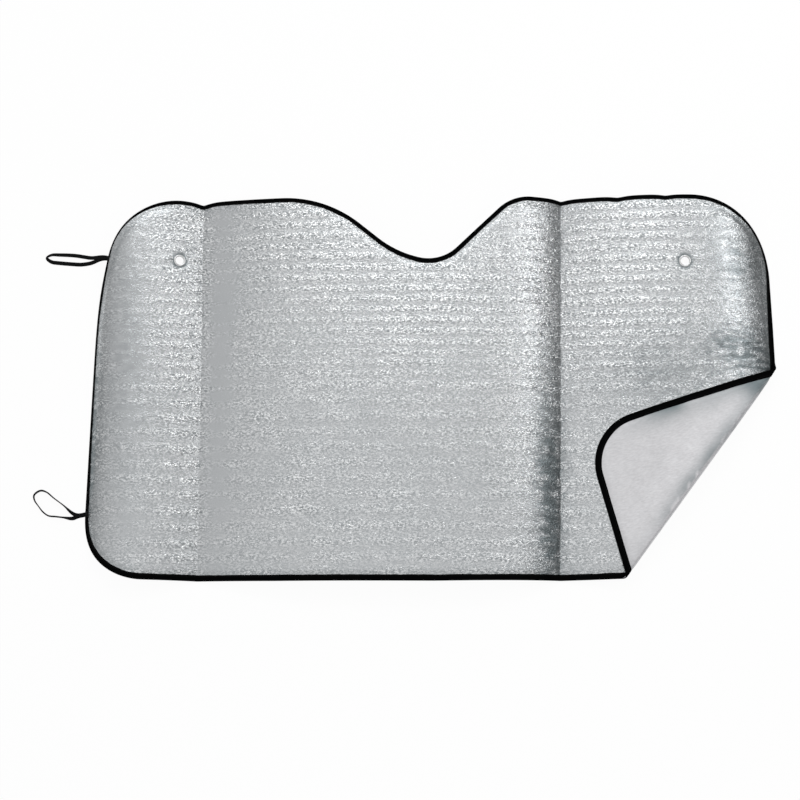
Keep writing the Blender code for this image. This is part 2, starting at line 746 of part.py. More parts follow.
def stand_on_origin(frame, pieces):
    """Move the shade so that its box stands on the floor with its middle over the origin."""
    bpy.context.view_layer.update()
    corners = [piece.matrix_world @ Vector(corner) for piece in pieces for corner in piece.bound_box]
    low = [min(corner[axis] for corner in corners) for axis in range(3)]
    high = [max(corner[axis] for corner in corners) for axis in range(3)]
    frame.location = (-(low[0] + high[0]) / 2, -(low[1] + high[1]) / 2, -low[2])


def main():
    clear_scene()
    frame = bpy.data.objects.new("sunshade", None)
    bpy.context.scene.collection.objects.link(frame)
    outline = rounded(outline_corners())
    pieces = [make_sheet(outline, frame), make_binding(outline, frame)]
    pieces += make_eyelets(frame) + make_loops(outline, frame)
    stand_on_origin(frame, pieces)


main()
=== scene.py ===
"""Looks of a folding windscreen sunshade for a car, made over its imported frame.

The foil, its edge tape and the details on them are worked out flat, in the plane of the blank: u runs
across the width, v up towards the mirror notch and n is the height over the middle of the sheet. Then
one corner is folded over onto the front and the blank is arched over its three panels.
"""

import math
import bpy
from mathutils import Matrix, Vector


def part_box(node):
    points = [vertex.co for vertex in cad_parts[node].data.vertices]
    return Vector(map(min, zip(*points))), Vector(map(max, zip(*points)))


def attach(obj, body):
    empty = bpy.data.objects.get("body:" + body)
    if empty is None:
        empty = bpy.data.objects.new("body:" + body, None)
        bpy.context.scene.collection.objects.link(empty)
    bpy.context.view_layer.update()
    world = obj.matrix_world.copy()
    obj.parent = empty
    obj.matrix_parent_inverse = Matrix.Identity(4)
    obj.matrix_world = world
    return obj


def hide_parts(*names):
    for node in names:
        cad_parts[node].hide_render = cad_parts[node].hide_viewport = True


bl_info = {
    "name": "Car sunshade",
    "version": (1, 0, 0),
    "blender": (4, 5, 0),
    "location": "View3D > Sidebar > Sunshade",
    "description": "Bubble foil sheet, edge tape, eyelets and elastic loops of a folding car sunshade",
    "category": "Object",
}

import bpy
import numpy as np
from bpy.props import FloatProperty, FloatVectorProperty, IntProperty, PointerProperty
from mathutils import Vector

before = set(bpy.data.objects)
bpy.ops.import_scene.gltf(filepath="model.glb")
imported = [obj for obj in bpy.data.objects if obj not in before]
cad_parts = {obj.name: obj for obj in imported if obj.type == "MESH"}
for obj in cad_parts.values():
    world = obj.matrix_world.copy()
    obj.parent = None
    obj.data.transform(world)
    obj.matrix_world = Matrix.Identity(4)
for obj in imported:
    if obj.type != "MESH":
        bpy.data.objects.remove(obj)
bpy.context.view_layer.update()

MM = 0.001


def soft_patches(rows):
    """Patches from rows of middle and size in millimetres: both in metres, and what else a row gives."""
    return [((u * MM, v * MM), (wide * MM, tall * MM), *rest) for u, v, wide, tall, *rest in rows]


# Blank
BOTTOM_WIDTH = 1500 * MM
TOP_WIDTH = 1466 * MM
BLANK_HEIGHT = 806 * MM
TOP_RIGHT_LIFT = 6 * MM
BOTTOM_BOW = 9 * MM
BOTTOM_BOW_RADIUS = 18000 * MM
BOTTOM_LEFT_CORNER_RADIUS = 135 * MM
BOTTOM_RIGHT_CORNER_RADIUS = 108 * MM
BOTTOM_RIGHT_LIFT = 9 * MM
TOP_LEFT_CORNER_RADIUS = 200 * MM
TOP_LEFT_INSET = 62 * MM
LEFT_TURN_HEIGHT = 150 * MM
LEFT_TURN_RADIUS = 600 * MM
BOTTOM_RIGHT_INSET = 20 * MM
RIGHT_TURN_HEIGHT = 40 * MM
RIGHT_TURN_RADIUS = 4000 * MM
TOP_RIGHT_CORNER_RADIUS = 178 * MM
MOST_ROUNDED = 0.49

# Notch for the mirror
NOTCH_DEPTH = 134 * MM
NOTCH_RADIUS = 92 * MM
NOTCH_SIDE_RADIUS = 214 * MM
NOTCH_FLOOR_SLOPE = math.radians(14)
NOTCH_LEFT_SLOPE = math.radians(39)
NOTCH_RIGHT_SLOPE = math.radians(44)
NOTCH_PLACE = -13 * MM
LEFT_SHOULDER_RADIUS = 280 * MM
RIGHT_SHOULDER_RADIUS = 105 * MM

# Arched panels
SHEET_THICKNESS = 4.0 * MM
PRESSED_THICKNESS = 1.6 * MM
EDGE_TAPER = 8 * MM
CREASE_WIDTH = 0.6 * MM
CREASE_TAPER = 9 * MM
CREASE_PRESS = 0.15
LEFT_CREASE = -497 * MM
RIGHT_CREASE = 283 * MM
RIGHT_CREASE_LEAN = 13 * MM
LEFT_CROWN = -648 * MM
MIDDLE_CROWN = -80 * MM
RIGHT_CROWN = 505 * MM
LEFT_RISE = 38 * MM
MIDDLE_RISE = 54 * MM
RIGHT_RISE = 46 * MM
LEFT_BOTTOM_SHARE = 0.9
RIGHT_BOTTOM_SHARE = 0.6
TOP_SHARE = 1.1
LEFT_OUTER_POWER = 2.2
LEFT_INNER_POWER = 1.6
MIDDLE_LEFT_POWER = 2.2
MIDDLE_RIGHT_POWER = 3.4
RIGHT_INNER_POWER = 1.5
RIGHT_OUTER_POWER = 3.0
STEEPEST_SINE = 0.97

# Corner folded over onto the front
FOLD_ALONG_SIDE = 462 * MM
FOLD_ALONG_BOTTOM = 354 * MM
FOLD_RADIUS = 6 * MM
FOLD_ARC = math.pi * FOLD_RADIUS
FLAP_SETTLE = 80 * MM
FLAP_GAP = 0.5 * MM

# Tape, eyelets and loops
TAPE_THICKNESS = 0.6 * MM
GAP = 0.35 * MM
BACK_EXTRA = 1.2 * MM
NOSE_REACH = 1.2 * MM
NARROWEST_TAPE = 0.78
STITCH_LINE = 0.79
THREAD_SIDES = 6
TAPE_INNER = PRESSED_THICKNESS / 2 + GAP
TAPE_OUTER = TAPE_INNER + TAPE_THICKNESS
TAPE_NOSE = GAP + TAPE_THICKNESS
PINCH_WIDTH = 13 * MM
EYELETS = {"left_eyelet": (-548 * MM, 273 * MM), "right_eyelet": (545 * MM, 266 * MM)}
EYELET_WALL = 0.8 * MM
EYELET_BACK = 0.7 * MM
EYELET_SEAT = 13.6 * MM
EYELET_SEAT_TAPER = 8 * MM
UPPER_LOOP_HEIGHT = 276 * MM
LOWER_LOOP_HEIGHT = -266 * MM
ELASTIC_SETTLE = 42 * MM

# Grid of the sheet: columns left of, between and right of the upright part, rows, and rows of the flap
LEFT_COLUMNS = 40
MIDDLE_COLUMNS = 214
RIGHT_COLUMNS = 94
SHEET_ROWS = 192
FOLD_ROWS = 116
TURN_ROWS = 16
FLAP_ROWS = 64
UPRIGHT_FROM = -600 * MM
UPRIGHT_TO = 300 * MM
HOLE_RINGS = 4
HOLE_RADIUS = 9.9 * MM
BACK_STRIDE = 2
DISTANCE_BATCH = 4000

# Section of one face of the tape: share of its width, and height over it in millimetres
TAPE_SECTION = [(1.0, -0.3), (0.985, 0.0), (0.84, 0.02), (0.79, -0.12), (0.74, 0.02), (0.45, 0.12)]

# Patches where the tape shows less on the front: middle and size on the blank, and weight
NARROW_TAPE = soft_patches([
    (-690, 330, 100, 130, 0.5),
    (-750, 0, 60, 260, 0.38),
    (715, 310, 80, 120, 0.4),
])

# Patches where the film is crinkled, which also sets where glints and shade are painted on it: middle and
# size on the blank, and weight
CRINKLED_PATCHES = soft_patches([
    (-530, 300, 48, 170, 0.85),
    (-520, -100, 40, 350, 0.4),
    (-255, 322, 130, 105, 0.7),
    (-11, 183, 150, 90, 0.5),
    (228, 258, 45, 140, 0.4),
    (400, 230, 130, 160, 0.6),
    (-190, 375, 90, 36, 0.5),
    (262, -150, 26, 260, 0.6),
    (-738, -60, 30, 230, 0.35),
    (540, 390, 140, 45, 0.5),
    (645, 240, 75, 150, -0.22),
    (-455, 140, 34, 520, -0.36),
    (-655, 60, 50, 420, -0.2),
])
PLAIN_CRINKLE = 0.36
BLOCK_WIDTH = 62 * MM

# Patches of painted shade on the film: middle and size on the blank, and weight
PAINTED_SHADE_PATCHES = soft_patches([
    (664, 82, 80, 48, 0.6),
    (248, -230, 36, 240, 1.0),
    (-742, -90, 26, 260, 0.95),
    (-655, 40, 50, 330, 0.2),
    (660, 265, 66, 110, 0.52),
    (500, 30, 150, 80, 0.36),
    (722, -150, 34, 200, 0.4),
    (700, 20, 60, 70, 0.3),
    (632, -90, 26, 70, 0.3),
])

# Wrinkles: middle and size on the blank, turn of the ridges in degrees, pitch and height
WRINKLES = soft_patches([
    (-736, -95, 36, 180, 14, 19 * MM, 0.55 * MM),
    (-728, 268, 34, 30, -24, 13 * MM, 0.55 * MM),
    (-738, -262, 34, 26, 20, 13 * MM, 0.5 * MM),
    (262, -170, 24, 230, -6, 13 * MM, 0.4 * MM),
    (228, 250, 46, 140, 0, 13 * MM, 0.25 * MM),
    (-60, -388, 230, 20, 84, 27 * MM, 0.6 * MM),
    (664, 82, 70, 44, 4, 14 * MM, 0.35 * MM),
    (420, 120, 90, 70, 60, 30 * MM, 0.35 * MM),
])

# Weak creases up the sheet: place across, middle height, reach up and down, and depth
WEAK_CREASES = [
    (-196 * MM, -210 * MM, 190 * MM, 0.45 * MM),
    (0 * MM, -120 * MM, 260 * MM, 0.25 * MM),
    (444 * MM, 46 * MM, 90 * MM, 0.9 * MM),
]
WEAK_CREASE_WIDTH = 5 * MM

# Painted shade in rims and bands: their widths, and what the film's red, green and blue are multiplied by
# there
RIM_WIDTH = 9 * MM
EYELET_RIM_WIDTH = 5 * MM
FOLD_SHADE = 18 * MM
FLAP_SHADE = 34 * MM
TEAL_SHADE = (0.27, 0.31, 0.32)
TEAL_BACK_SHADE = (0.25, 0.3, 0.31)

# Dips of the top edge: place across, depth and half width
EDGE_DIPS = [
    (LEFT_CREASE, 6 * MM, 20 * MM),
    (RIGHT_CREASE, 3.5 * MM, 16 * MM),
    (407 * MM, 3.5 * MM, 18 * MM),
    (508 * MM, 3 * MM, 16 * MM),
]

ARC_STEP = math.radians(2)
OUTLINE_STEP = 1 * MM
GAUSS_NODES, GAUSS_WEIGHTS = np.polynomial.legendre.leggauss(14)
ON_LINE = 1e-6
LATTICE = 64

# Loop routes from the edge: distance out, distance up the edge, height of the band's middle over
# the floor, all in millimetres, and how far the band's outer face leans from straight up, in degrees
UPPER_LOOP_ROUTE = [
    (-4, 1.5, 2.0, 0),
    (15, 5.0, 2.2, 0),
    (39, 7.5, 2.0, 6),
    (71, 12.6, 0.9, 8),
    (104, 14.0, 1.2, 20),
    (121, 13.6, 2.4, 34),
    (131, 7.0, 3.6, 46),
    (121, -1.4, 2.4, 34),
    (104, -3.9, 1.2, 20),
    (66, -6.7, 0.9, 8),
    (52, -6.3, 0.8, 4),
    (36, -3.6, 0.7, 0),
    (16, 0.4, 0.7, 0),
    (-4, 0.4, 0.8, 0),
]
LOWER_LOOP_ROUTE = [
    (-4, -0.6, 0.8, 0),
    (14, -4.2, 0.7, 0),
    (27, -9.0, 1.6, 30),
    (45, -7.0, 4.2, 72),
    (61, -5.2, 4.3, 75),
    (76, -3.4, 4.3, 75),
    (88, 5.0, 4.3, 72),
    (98, 17.6, 4.4, 76),
    (106, 29.6, 4.1, 66),
    (106.5, 41.0, 3.8, 54),
    (94, 49.4, 3.8, 54),
    (80, 45.6, 4.2, 70),
    (66, 34.0, 4.3, 75),
    (44, 17.6, 4.3, 74),
    (27, 2.6, 2.8, 34),
    (14, -2.4, 2.3, 0),
    (-4, 0.6, 2.0, 0),
]
LOOPS = {
    "upper_elastic_loop": (UPPER_LOOP_HEIGHT, UPPER_LOOP_ROUTE),
    "lower_elastic_loop": (LOWER_LOOP_HEIGHT, LOWER_LOOP_ROUTE),
}
ROUTE_SAMPLES = 24

# Light: shares of the room's grey along an axis, from two directions to two values, and soft boxes
# with name, place, point they face, width, depth and brightness
ROOM_SHARES = [
    ("X", 0.35, 0.85, 1.0, 0.34),
    ("X", -0.95, -0.55, 0.78, 1.0),
    ("Y", -0.6, -0.1, 0.88, 1.0),
    ("Z", 0.0, 0.6, 0.64, 0.83),
]
SOFT_BOXES = [
    ("overhead box", (0.1, 0.3, 2.4), (0.1, 0.3, 0), 3.1, 3.0, 0.12),
    ("far box", (0.1, 2.0, 2.35), (0.1, 0, 0), 2.3, 0.55, 4.6),
    ("right box", (2.1, 0.95, 2.15), (-0.45, 0.2, 0), 1.1, 0.75, 3.4),
]
CAMERA_TARGET = (-0.013, -0.0285, 0.03)
FLOOR_REACH = 6
FLOOR_LEVEL = -0.5 * MM
SENSOR_WIDTH = 36


# Numbers


def ease(share):
    """Smooth step of a share from 0 to 1: 3 s^2 - 2 s^3, held at its ends."""
    share = np.clip(share, 0, 1)
    return share * share * (3 - 2 * share)


def unit(vectors):
    """Vectors on the last axis, brought to length 1."""
    return vectors / np.linalg.norm(vectors, axis=-1, keepdims=True)


def travelled_along(points):
    """Distance travelled along a line of points, at each of them."""
    return np.concatenate([[0], np.cumsum(np.linalg.norm(np.diff(points, axis=0), axis=1))])


def grid_map(along, around):
    """Map values of a grid of points: one coordinate from each of its two directions."""
    return np.stack(np.broadcast_arrays(along[:, None], around[None]), -1).reshape(-1, 2)


def toned(colour, by, lift=0.0):
    """A colour's parts, each multiplied by a number or by its own one of three, and lifted."""
    return tuple(share * part + lift for share, part in zip(np.broadcast_to(by, 3), colour))


def soft_noise(u, v, wide, tall, seed):
    """Smooth bumps between -1 and 1: a seeded lattice of values wide by tall, eased between its points."""
    lattice = np.random.default_rng(seed).uniform(-1, 1, (LATTICE, LATTICE))
    across, up = u / wide, v / tall
    column, row = np.floor(across).astype(int), np.floor(up).astype(int)
    part, rise = ease(across - column), ease(up - row)
    one, other = column % LATTICE, (column + 1) % LATTICE
    low, high = row % LATTICE, (row + 1) % LATTICE
    near = lattice[one, low] * (1 - part) + lattice[other, low] * part
    far = lattice[one, high] * (1 - part) + lattice[other, high] * part
    return near * (1 - rise) + far * rise


def patch(u, v, middle, size):
    """Share of a soft round patch: a bell of the distance from its middle, in units of its size."""
    return np.exp(-(((u - middle[0]) / size[0]) ** 2) - ((v - middle[1]) / size[1]) ** 2)


# Outline of the blank


def side_u(v, side):
    """Place of the straight side edge at height v: side is 1 on the right and -1 on the left."""
    share = v / BLANK_HEIGHT + 0.5
    return side * (BOTTOM_WIDTH + (TOP_WIDTH - BOTTOM_WIDTH) * share) / 2


def notch_corners(top):
    """Square corners of the notch from right to left: the floor rises gently before its left side."""
    floor = top - NOTCH_DEPTH
    rise = math.tan(NOTCH_FLOOR_SLOPE)
    level = floor + NOTCH_RADIUS * (1 - 1 / math.cos(NOTCH_FLOOR_SLOPE))
    right_level = floor + NOTCH_RADIUS * (1 - 1 / math.cos(NOTCH_RIGHT_SLOPE))
    right_rise = math.tan(NOTCH_RIGHT_SLOPE)
    lowest = (level - right_level) / (rise + right_rise)
    bottom = level - rise * lowest
    floor_turn = (NOTCH_FLOOR_SLOPE + NOTCH_RIGHT_SLOPE) / 2
    side_turn = (NOTCH_LEFT_SLOPE - NOTCH_FLOOR_SLOPE) / 2
    run = NOTCH_RADIUS * math.tan(floor_turn) + NOTCH_SIDE_RADIUS * math.tan(side_turn)
    side = lowest - run * math.cos(NOTCH_FLOOR_SLOPE)
    side_bottom = level - rise * side
    right_top = top + TOP_RIGHT_LIFT
    return [
        (NOTCH_PLACE + (right_top - right_level) / right_rise, right_top, RIGHT_SHOULDER_RADIUS),
        (NOTCH_PLACE + lowest, bottom, NOTCH_RADIUS),
        (NOTCH_PLACE + side, side_bottom, NOTCH_SIDE_RADIUS),
        (NOTCH_PLACE + side - (top - side_bottom) / math.tan(NOTCH_LEFT_SLOPE), top, LEFT_SHOULDER_RADIUS),
    ]


def outline_corners():
    """Square corners of the blank, counterclockwise, each with the radius that rounds it."""
    bottom = -BLANK_HEIGHT / 2
    top = BLANK_HEIGHT / 2
    return [
        (side_u(bottom, -1), bottom, BOTTOM_LEFT_CORNER_RADIUS),
        (0.0, bottom - BOTTOM_BOW, BOTTOM_BOW_RADIUS),
        (side_u(bottom, 1) - BOTTOM_RIGHT_INSET, bottom + BOTTOM_RIGHT_LIFT, BOTTOM_RIGHT_CORNER_RADIUS),
        (side_u(RIGHT_TURN_HEIGHT, 1), RIGHT_TURN_HEIGHT, RIGHT_TURN_RADIUS),
        (side_u(top, 1), top + TOP_RIGHT_LIFT, TOP_RIGHT_CORNER_RADIUS),
        *notch_corners(top),
        (side_u(top, -1) + TOP_LEFT_INSET, top, TOP_LEFT_CORNER_RADIUS),
        (side_u(LEFT_TURN_HEIGHT, -1), LEFT_TURN_HEIGHT, LEFT_TURN_RADIUS),
    ]


def corner_arc(before, corner, after):
    """Points of the arc that rounds one corner, no longer than nearly half of the edges beside it."""
    here = np.array(corner[:2])
    back, on = np.array(before[:2]) - here, np.array(after[:2]) - here
    back_length, on_length = np.linalg.norm(back), np.linalg.norm(on)
    back, on = back / back_length, on / on_length
    half_turn = (math.pi - math.acos(np.clip(back @ on, -1, 1))) / 2
    tangent = min(corner[2] * math.tan(half_turn), MOST_ROUNDED * min(back_length, on_length))
    radius = tangent / math.tan(half_turn)
    centre = here + (back + on) / np.linalg.norm(back + on) * tangent / math.sin(half_turn)
    start = here + back * tangent - centre
    turn = math.copysign(2 * half_turn, on[0] * back[1] - on[1] * back[0])
    angles = np.linspace(0, turn, max(3, math.ceil(abs(turn) / ARC_STEP)))
    first = math.atan2(start[1], start[0])
    return centre + radius * np.column_stack([np.cos(first + angles), np.sin(first + angles)])


def blank_outline(step):
    """The blank's rounded outline, counterclockwise from its lower left corner, at even steps."""
    corners = outline_corners()
    arcs = [
        corner_arc(corners[index - 1], corner, corners[(index + 1) % len(corners)])
        for index, corner in enumerate(corners)
    ]
    ring = np.vstack(arcs + [arcs[0][:1]])
    travelled = travelled_along(ring)
    stops = np.linspace(0, travelled[-1], 2 * round(travelled[-1] / step / 2), endpoint=False)
    u, v = (np.interp(stops, travelled, column) for column in ring.T)
    dips = sum(depth * np.exp(-abs((u - place) / wide) ** 1.5) for place, depth, wide in EDGE_DIPS)
    return np.column_stack([u, v - np.where(v > BLANK_HEIGHT / 4, dips, 0)])


def inset(points, distance):
    """The outline moved inwards by a distance, along the mean normal of the edges beside each point."""
    ahead = unit(np.roll(points, -1, axis=0) - points)
    mean = unit(ahead + np.roll(ahead, 1, axis=0))
    return points + np.reshape(distance, (-1, 1)) * np.column_stack([-mean[:, 1], mean[:, 0]])


def edge_distance(points, outline):
    """Distance from each point to the nearest point of the outline, in batches."""
    batches = [
        np.sqrt(((points[start : start + DISTANCE_BATCH, None] - outline[None]) ** 2).sum(2).min(1))
        for start in range(0, len(points), DISTANCE_BATCH)
    ]
    return np.concatenate(batches)


# Shape that the blank takes


def fold_line():
    """A point on the line where the fold starts, the direction up along it and the one over it."""
    corner = np.array([side_u(-BLANK_HEIGHT / 2, 1), -BLANK_HEIGHT / 2])
    side_height = -BLANK_HEIGHT / 2 + FOLD_ALONG_SIDE
    on_side = np.array([side_u(side_height, 1), side_height])
    on_bottom = corner - np.array([FOLD_ALONG_BOTTOM, 0])
    along = (on_side - on_bottom) / np.linalg.norm(on_side - on_bottom)
    return on_bottom, along, np.array([along[1], -along[0]])


def fold_corner(points):
    """Carry the corner beyond the fold line round a half turn and lay it on the front."""
    start, _, towards = fold_line()
    beyond = (points[:, :2] - start) @ towards
    height = points[:, 2]
    foot = points[:, :2] - beyond[:, None] * towards
    angle = np.clip(beyond / FOLD_RADIUS, 0, math.pi)
    past = beyond - FOLD_ARC
    drop = (2 * FOLD_RADIUS - SHEET_THICKNESS - FLAP_GAP) * ease(past / FLAP_SETTLE)
    reach = np.where(past > 0, -past, (FOLD_RADIUS - height) * np.sin(angle))
    raised = FOLD_RADIUS - (FOLD_RADIUS - height) * np.cos(angle) - drop
    folded = np.column_stack([foot + reach[:, None] * towards, raised])
    return np.where(beyond[:, None] > 0, folded, points)


def half_arch(reach, half, rise, power):
    """Level run, drop and sine of the slope of half a panel, at a reach along the sheet from its crown.

    The drop is rise * (reach / half) ** power, so the sine of the slope is its derivative, and the
    level run is the integral of the cosine, which keeps the sheet's own length.
    """
    share = reach / half
    foot_sine = rise * power / half
    samples = share[:, None] * (GAUSS_NODES + 1) / 2
    sines = np.minimum(foot_sine[:, None] * samples ** (power - 1), STEEPEST_SINE)
    run = reach * (np.sqrt(1 - sines**2) @ GAUSS_WEIGHTS) / 2
    sine = np.minimum(foot_sine * share ** (power - 1), STEEPEST_SINE)
    return run, rise * share**power, sine


def right_crease(v):
    """Place of the right crease across the blank: it leans a little to the left towards the bottom."""
    return RIGHT_CREASE - RIGHT_CREASE_LEAN * (0.5 - v / BLANK_HEIGHT)


def half_panels(v, side):
    """Half panels and creases from the middle crown to one side edge: kind, length, rise and power."""
    level = np.ones_like(v)
    up = v / BLANK_HEIGHT + 0.5
    lift = LEFT_BOTTOM_SHARE + (TOP_SHARE - LEFT_BOTTOM_SHARE) * up
    outer_lift = lift
    if side > 0:
        outer_lift = RIGHT_BOTTOM_SHARE + (TOP_SHARE - RIGHT_BOTTOM_SHARE) * up
        crease, crown, rise = right_crease(v), RIGHT_CROWN, RIGHT_RISE
        powers = MIDDLE_RIGHT_POWER, RIGHT_INNER_POWER, RIGHT_OUTER_POWER
    else:
        crease, crown, rise = LEFT_CREASE, LEFT_CROWN, LEFT_RISE
        powers = MIDDLE_LEFT_POWER, LEFT_INNER_POWER, LEFT_OUTER_POWER
    half_crease = CREASE_WIDTH / 2
    return [
        ("fall", (side * (crease - MIDDLE_CROWN) - half_crease) * level, MIDDLE_RISE * lift, powers[0]),
        ("crease", CREASE_WIDTH * level, 0 * level, 1.0),
        ("climb", (side * (crown - crease) - half_crease) * level, rise * outer_lift, powers[1]),
        ("fall", side * (side_u(v, side) - crown), rise * outer_lift, powers[2]),
    ]


def walk(distance, v, side):
    """Level run, height and slope after a distance along the sheet from the middle crown."""
    halves = half_panels(v, side)
    run, slope, start = np.zeros_like(distance), np.zeros_like(distance), np.zeros_like(distance)
    height = halves[0][2].copy()
    for number, (kind, length, rise, power) in enumerate(halves):
        last = number == len(halves) - 1
        part = np.clip(distance - start, 0, None if last else length)
        inside = distance > start + ON_LINE
        if kind == "fall":
            step, drop, sine = half_arch(part, length, rise, power)
            run += step
            height -= drop
            slope = np.where(inside, -sine, slope)
        elif kind == "climb":
            whole, all_rise, _ = half_arch(length, length, rise, power)
            left, left_rise, sine = half_arch(length - part, length, rise, power)
            run += whole - left
            height += all_rise - left_rise
            slope = np.where(inside, sine, slope)
        else:
            run += part
            slope = np.where(distance > start - ON_LINE, 0, slope)
        start = start + length
    return run, height, slope


def arch(points):
    """Arch the panels: each point keeps its height over the sheet's middle, along the sheet's normal."""
    u, v, n = points.T
    placed = np.empty_like(points)
    for side in (-1, 1):
        chosen = side * (u - MIDDLE_CROWN) >= 0
        if not chosen.any():
            continue
        run, height, slope = walk(np.abs(u[chosen] - MIDDLE_CROWN), v[chosen], side)
        placed[chosen, 0] = MIDDLE_CROWN + side * (run - n[chosen] * slope)
        placed[chosen, 1] = v[chosen]
        placed[chosen, 2] = height + n[chosen] * np.sqrt(1 - slope**2)
    return placed


def shade_origin():
    """Shift from the blank's frame to the row's: the tape's box meets the box of its solid."""
    rim = inset(blank_outline(OUTLINE_STEP), -TAPE_NOSE)
    raw = arch(fold_corner(np.column_stack([rim, np.zeros(len(rim))])))
    low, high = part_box("edge_binding")
    middle = (np.array(low) + np.array(high)) / 2 - (raw.min(0) + raw.max(0)) / 2
    return np.array([middle[0], middle[1], SHEET_THICKNESS / 2])


ORIGIN = shade_origin()


def put(points):
    """Points of the blank folded, arched and set in the row's frame."""
    return arch(fold_corner(points)) + ORIGIN


# Making meshes


def triangles(first, second, third, fourth, cross=None):
    """Two triangles for each quad of four index arrays, cut the other way where cross is true."""
    if cross is None:
        cross = np.zeros(first.shape, bool)
    one = np.stack([first, second, np.where(cross, fourth, third)], -1).reshape(-1, 3)
    two = np.stack([np.where(cross, second, first), third, fourth], -1).reshape(-1, 3)
    return np.vstack([one, two])


def whole(faces):
    """Triangles whose three corners differ."""
    same = (faces[:, 0] == faces[:, 1]) | (faces[:, 1] == faces[:, 2]) | (faces[:, 0] == faces[:, 2])
    return faces[~same]


def tube_faces(rings, around, closed):
    """Triangles of a grid of rings by points around, joined round each ring and, if closed, end to end."""
    index = np.arange(rings * around).reshape(rings, around)
    ahead = np.roll(index, -1, axis=0)
    if not closed:
        index, ahead = index[:-1], ahead[:-1]
    return triangles(index, ahead, np.roll(ahead, -1, axis=1), np.roll(index, -1, axis=1))


def make_piece(name, points, faces, uv, looks, look_of_face=None, smooth_to=40, shares=None):
    """A smooth shaded object from points, triangles, a map value for each point, materials and shares."""
    mesh = bpy.data.meshes.new(name)
    mesh.vertices.add(len(points))
    mesh.vertices.foreach_set("co", np.ascontiguousarray(points, dtype=np.float32).ravel())
    mesh.loops.add(3 * len(faces))
    mesh.loops.foreach_set("vertex_index", np.ascontiguousarray(faces, dtype=np.int32).ravel())
    mesh.polygons.add(len(faces))
    mesh.polygons.foreach_set("loop_start", np.arange(0, 3 * len(faces), 3, dtype=np.int32))
    mesh.update(calc_edges=True)
    layer = mesh.uv_layers.new(name="cut")
    layer.data.foreach_set("uv", np.asarray(uv, dtype=np.float32)[faces.ravel()].ravel())
    for share, values in (shares or {}).items():
        layer = mesh.attributes.new(share, "FLOAT", "POINT")
        layer.data.foreach_set("value", np.asarray(values, dtype=np.float32))
    for look in looks:
        mesh.materials.append(look)
    if look_of_face is not None:
        mesh.polygons.foreach_set("material_index", np.asarray(look_of_face, dtype=np.int32))
    mesh.shade_smooth()
    mesh.set_sharp_from_angle(angle=math.radians(smooth_to))
    if mesh.validate():
        raise RuntimeError(f"{name}: the mesh had to be corrected")
    piece = bpy.data.objects.new(name, mesh)
    bpy.context.scene.collection.objects.link(piece)
    return piece


# Materials


class Nodes:
    """A node tree, with short calls for the nodes used here."""

    def __init__(self, tree):
        self.nodes, self.links = tree.nodes, tree.links

    def feed(self, socket, value):
        """Link a socket to another one, or set its value."""
        if isinstance(value, bpy.types.NodeSocket):
            self.links.new(value, socket)
        else:
            socket.default_value = value

    def node(self, kind, sockets=None, **settings):
        """A node with its settings, and its sockets linked to or set from the values given."""
        made = self.nodes.new(kind)
        for setting, value in settings.items():
            setattr(made, setting, value)
        for socket, value in (sockets or {}).items():
            self.feed(made.inputs[socket], value)
        return made

    def sum(self, one, other, operation="ADD"):
        """Two values added, or joined by another operation."""
        return self.node("ShaderNodeMath", {0: one, 1: other}, operation=operation).outputs[0]

    def times(self, one, other):
        """Two values multiplied."""
        return self.sum(one, other, "MULTIPLY")

    def between(self, value, low, high, to_low, to_high):
        """A value carried from one range to another, and held at its ends."""
        sockets = {"Value": value, "From Min": low, "From Max": high, "To Min": to_low, "To Max": to_high}
        return self.node("ShaderNodeMapRange", sockets).outputs["Result"]


class Look(Nodes):
    """A material's node tree, which ends in its shader."""

    def __init__(self, name):
        old = bpy.data.materials.get(name)
        if old:
            bpy.data.materials.remove(old)
        self.material = bpy.data.materials.new(name)
        self.material.use_nodes = True
        super().__init__(self.material.node_tree)
        self.shader = self.nodes["Principled BSDF"]

    def share(self, name):
        """One of the piece's own shares, kept on its points."""
        return self.node("ShaderNodeAttribute", attribute_name=name).outputs["Fac"]

    def wave(self, vector, scale, distortion=0.0):
        """Threads side by side, as a grey value."""
        sockets = {"Vector": vector, "Scale": scale, "Distortion": distortion}
        return self.node("ShaderNodeTexWave", sockets).outputs["Fac"]

    def cut(self):
        """The piece's own map, in metres on the flat cut."""
        return self.node("ShaderNodeUVMap", uv_map="cut").outputs["UV"]

    def scaled(self, vector, scale, turn=0.0):
        """A map stretched by a scale on each axis and turned in its plane."""
        sockets = {"Vector": vector, "Scale": scale, "Rotation": (0, 0, turn)}
        return self.node("ShaderNodeMapping", sockets).outputs["Vector"]

    def noise(self, vector, scale, detail=2.0, roughness=0.5, distortion=0.0):
        """Plain noise, as its grey value."""
        sockets = {"Vector": vector, "Scale": scale, "Detail": detail}
        sockets |= {"Roughness": roughness, "Distortion": distortion}
        return self.node("ShaderNodeTexNoise", sockets).outputs["Fac"]

    def blend(self, share, one, other):
        """A colour between two others."""
        made = self.node("ShaderNodeMix", {"Factor": share}, data_type="RGBA")
        for socket, colour in ((6, one), (7, other)):
            linked = isinstance(colour, bpy.types.NodeSocket)
            self.feed(made.inputs[socket], colour if linked else (*colour, 1.0))
        return made.outputs[2]

    def bump(self, height, distance, under=None):
        """A bump of a height value, over another bump."""
        sockets = {"Height": height, "Distance": distance}
        if under:
            sockets["Normal"] = under
        return self.node("ShaderNodeBump", sockets).outputs["Normal"]

    def finish(self, **sockets):
        """Set or link the shader's sockets, named in words joined by underscores."""
        for socket, value in sockets.items():
            self.feed(self.shader.inputs[socket.replace("_", " ")], value)
        return self.material


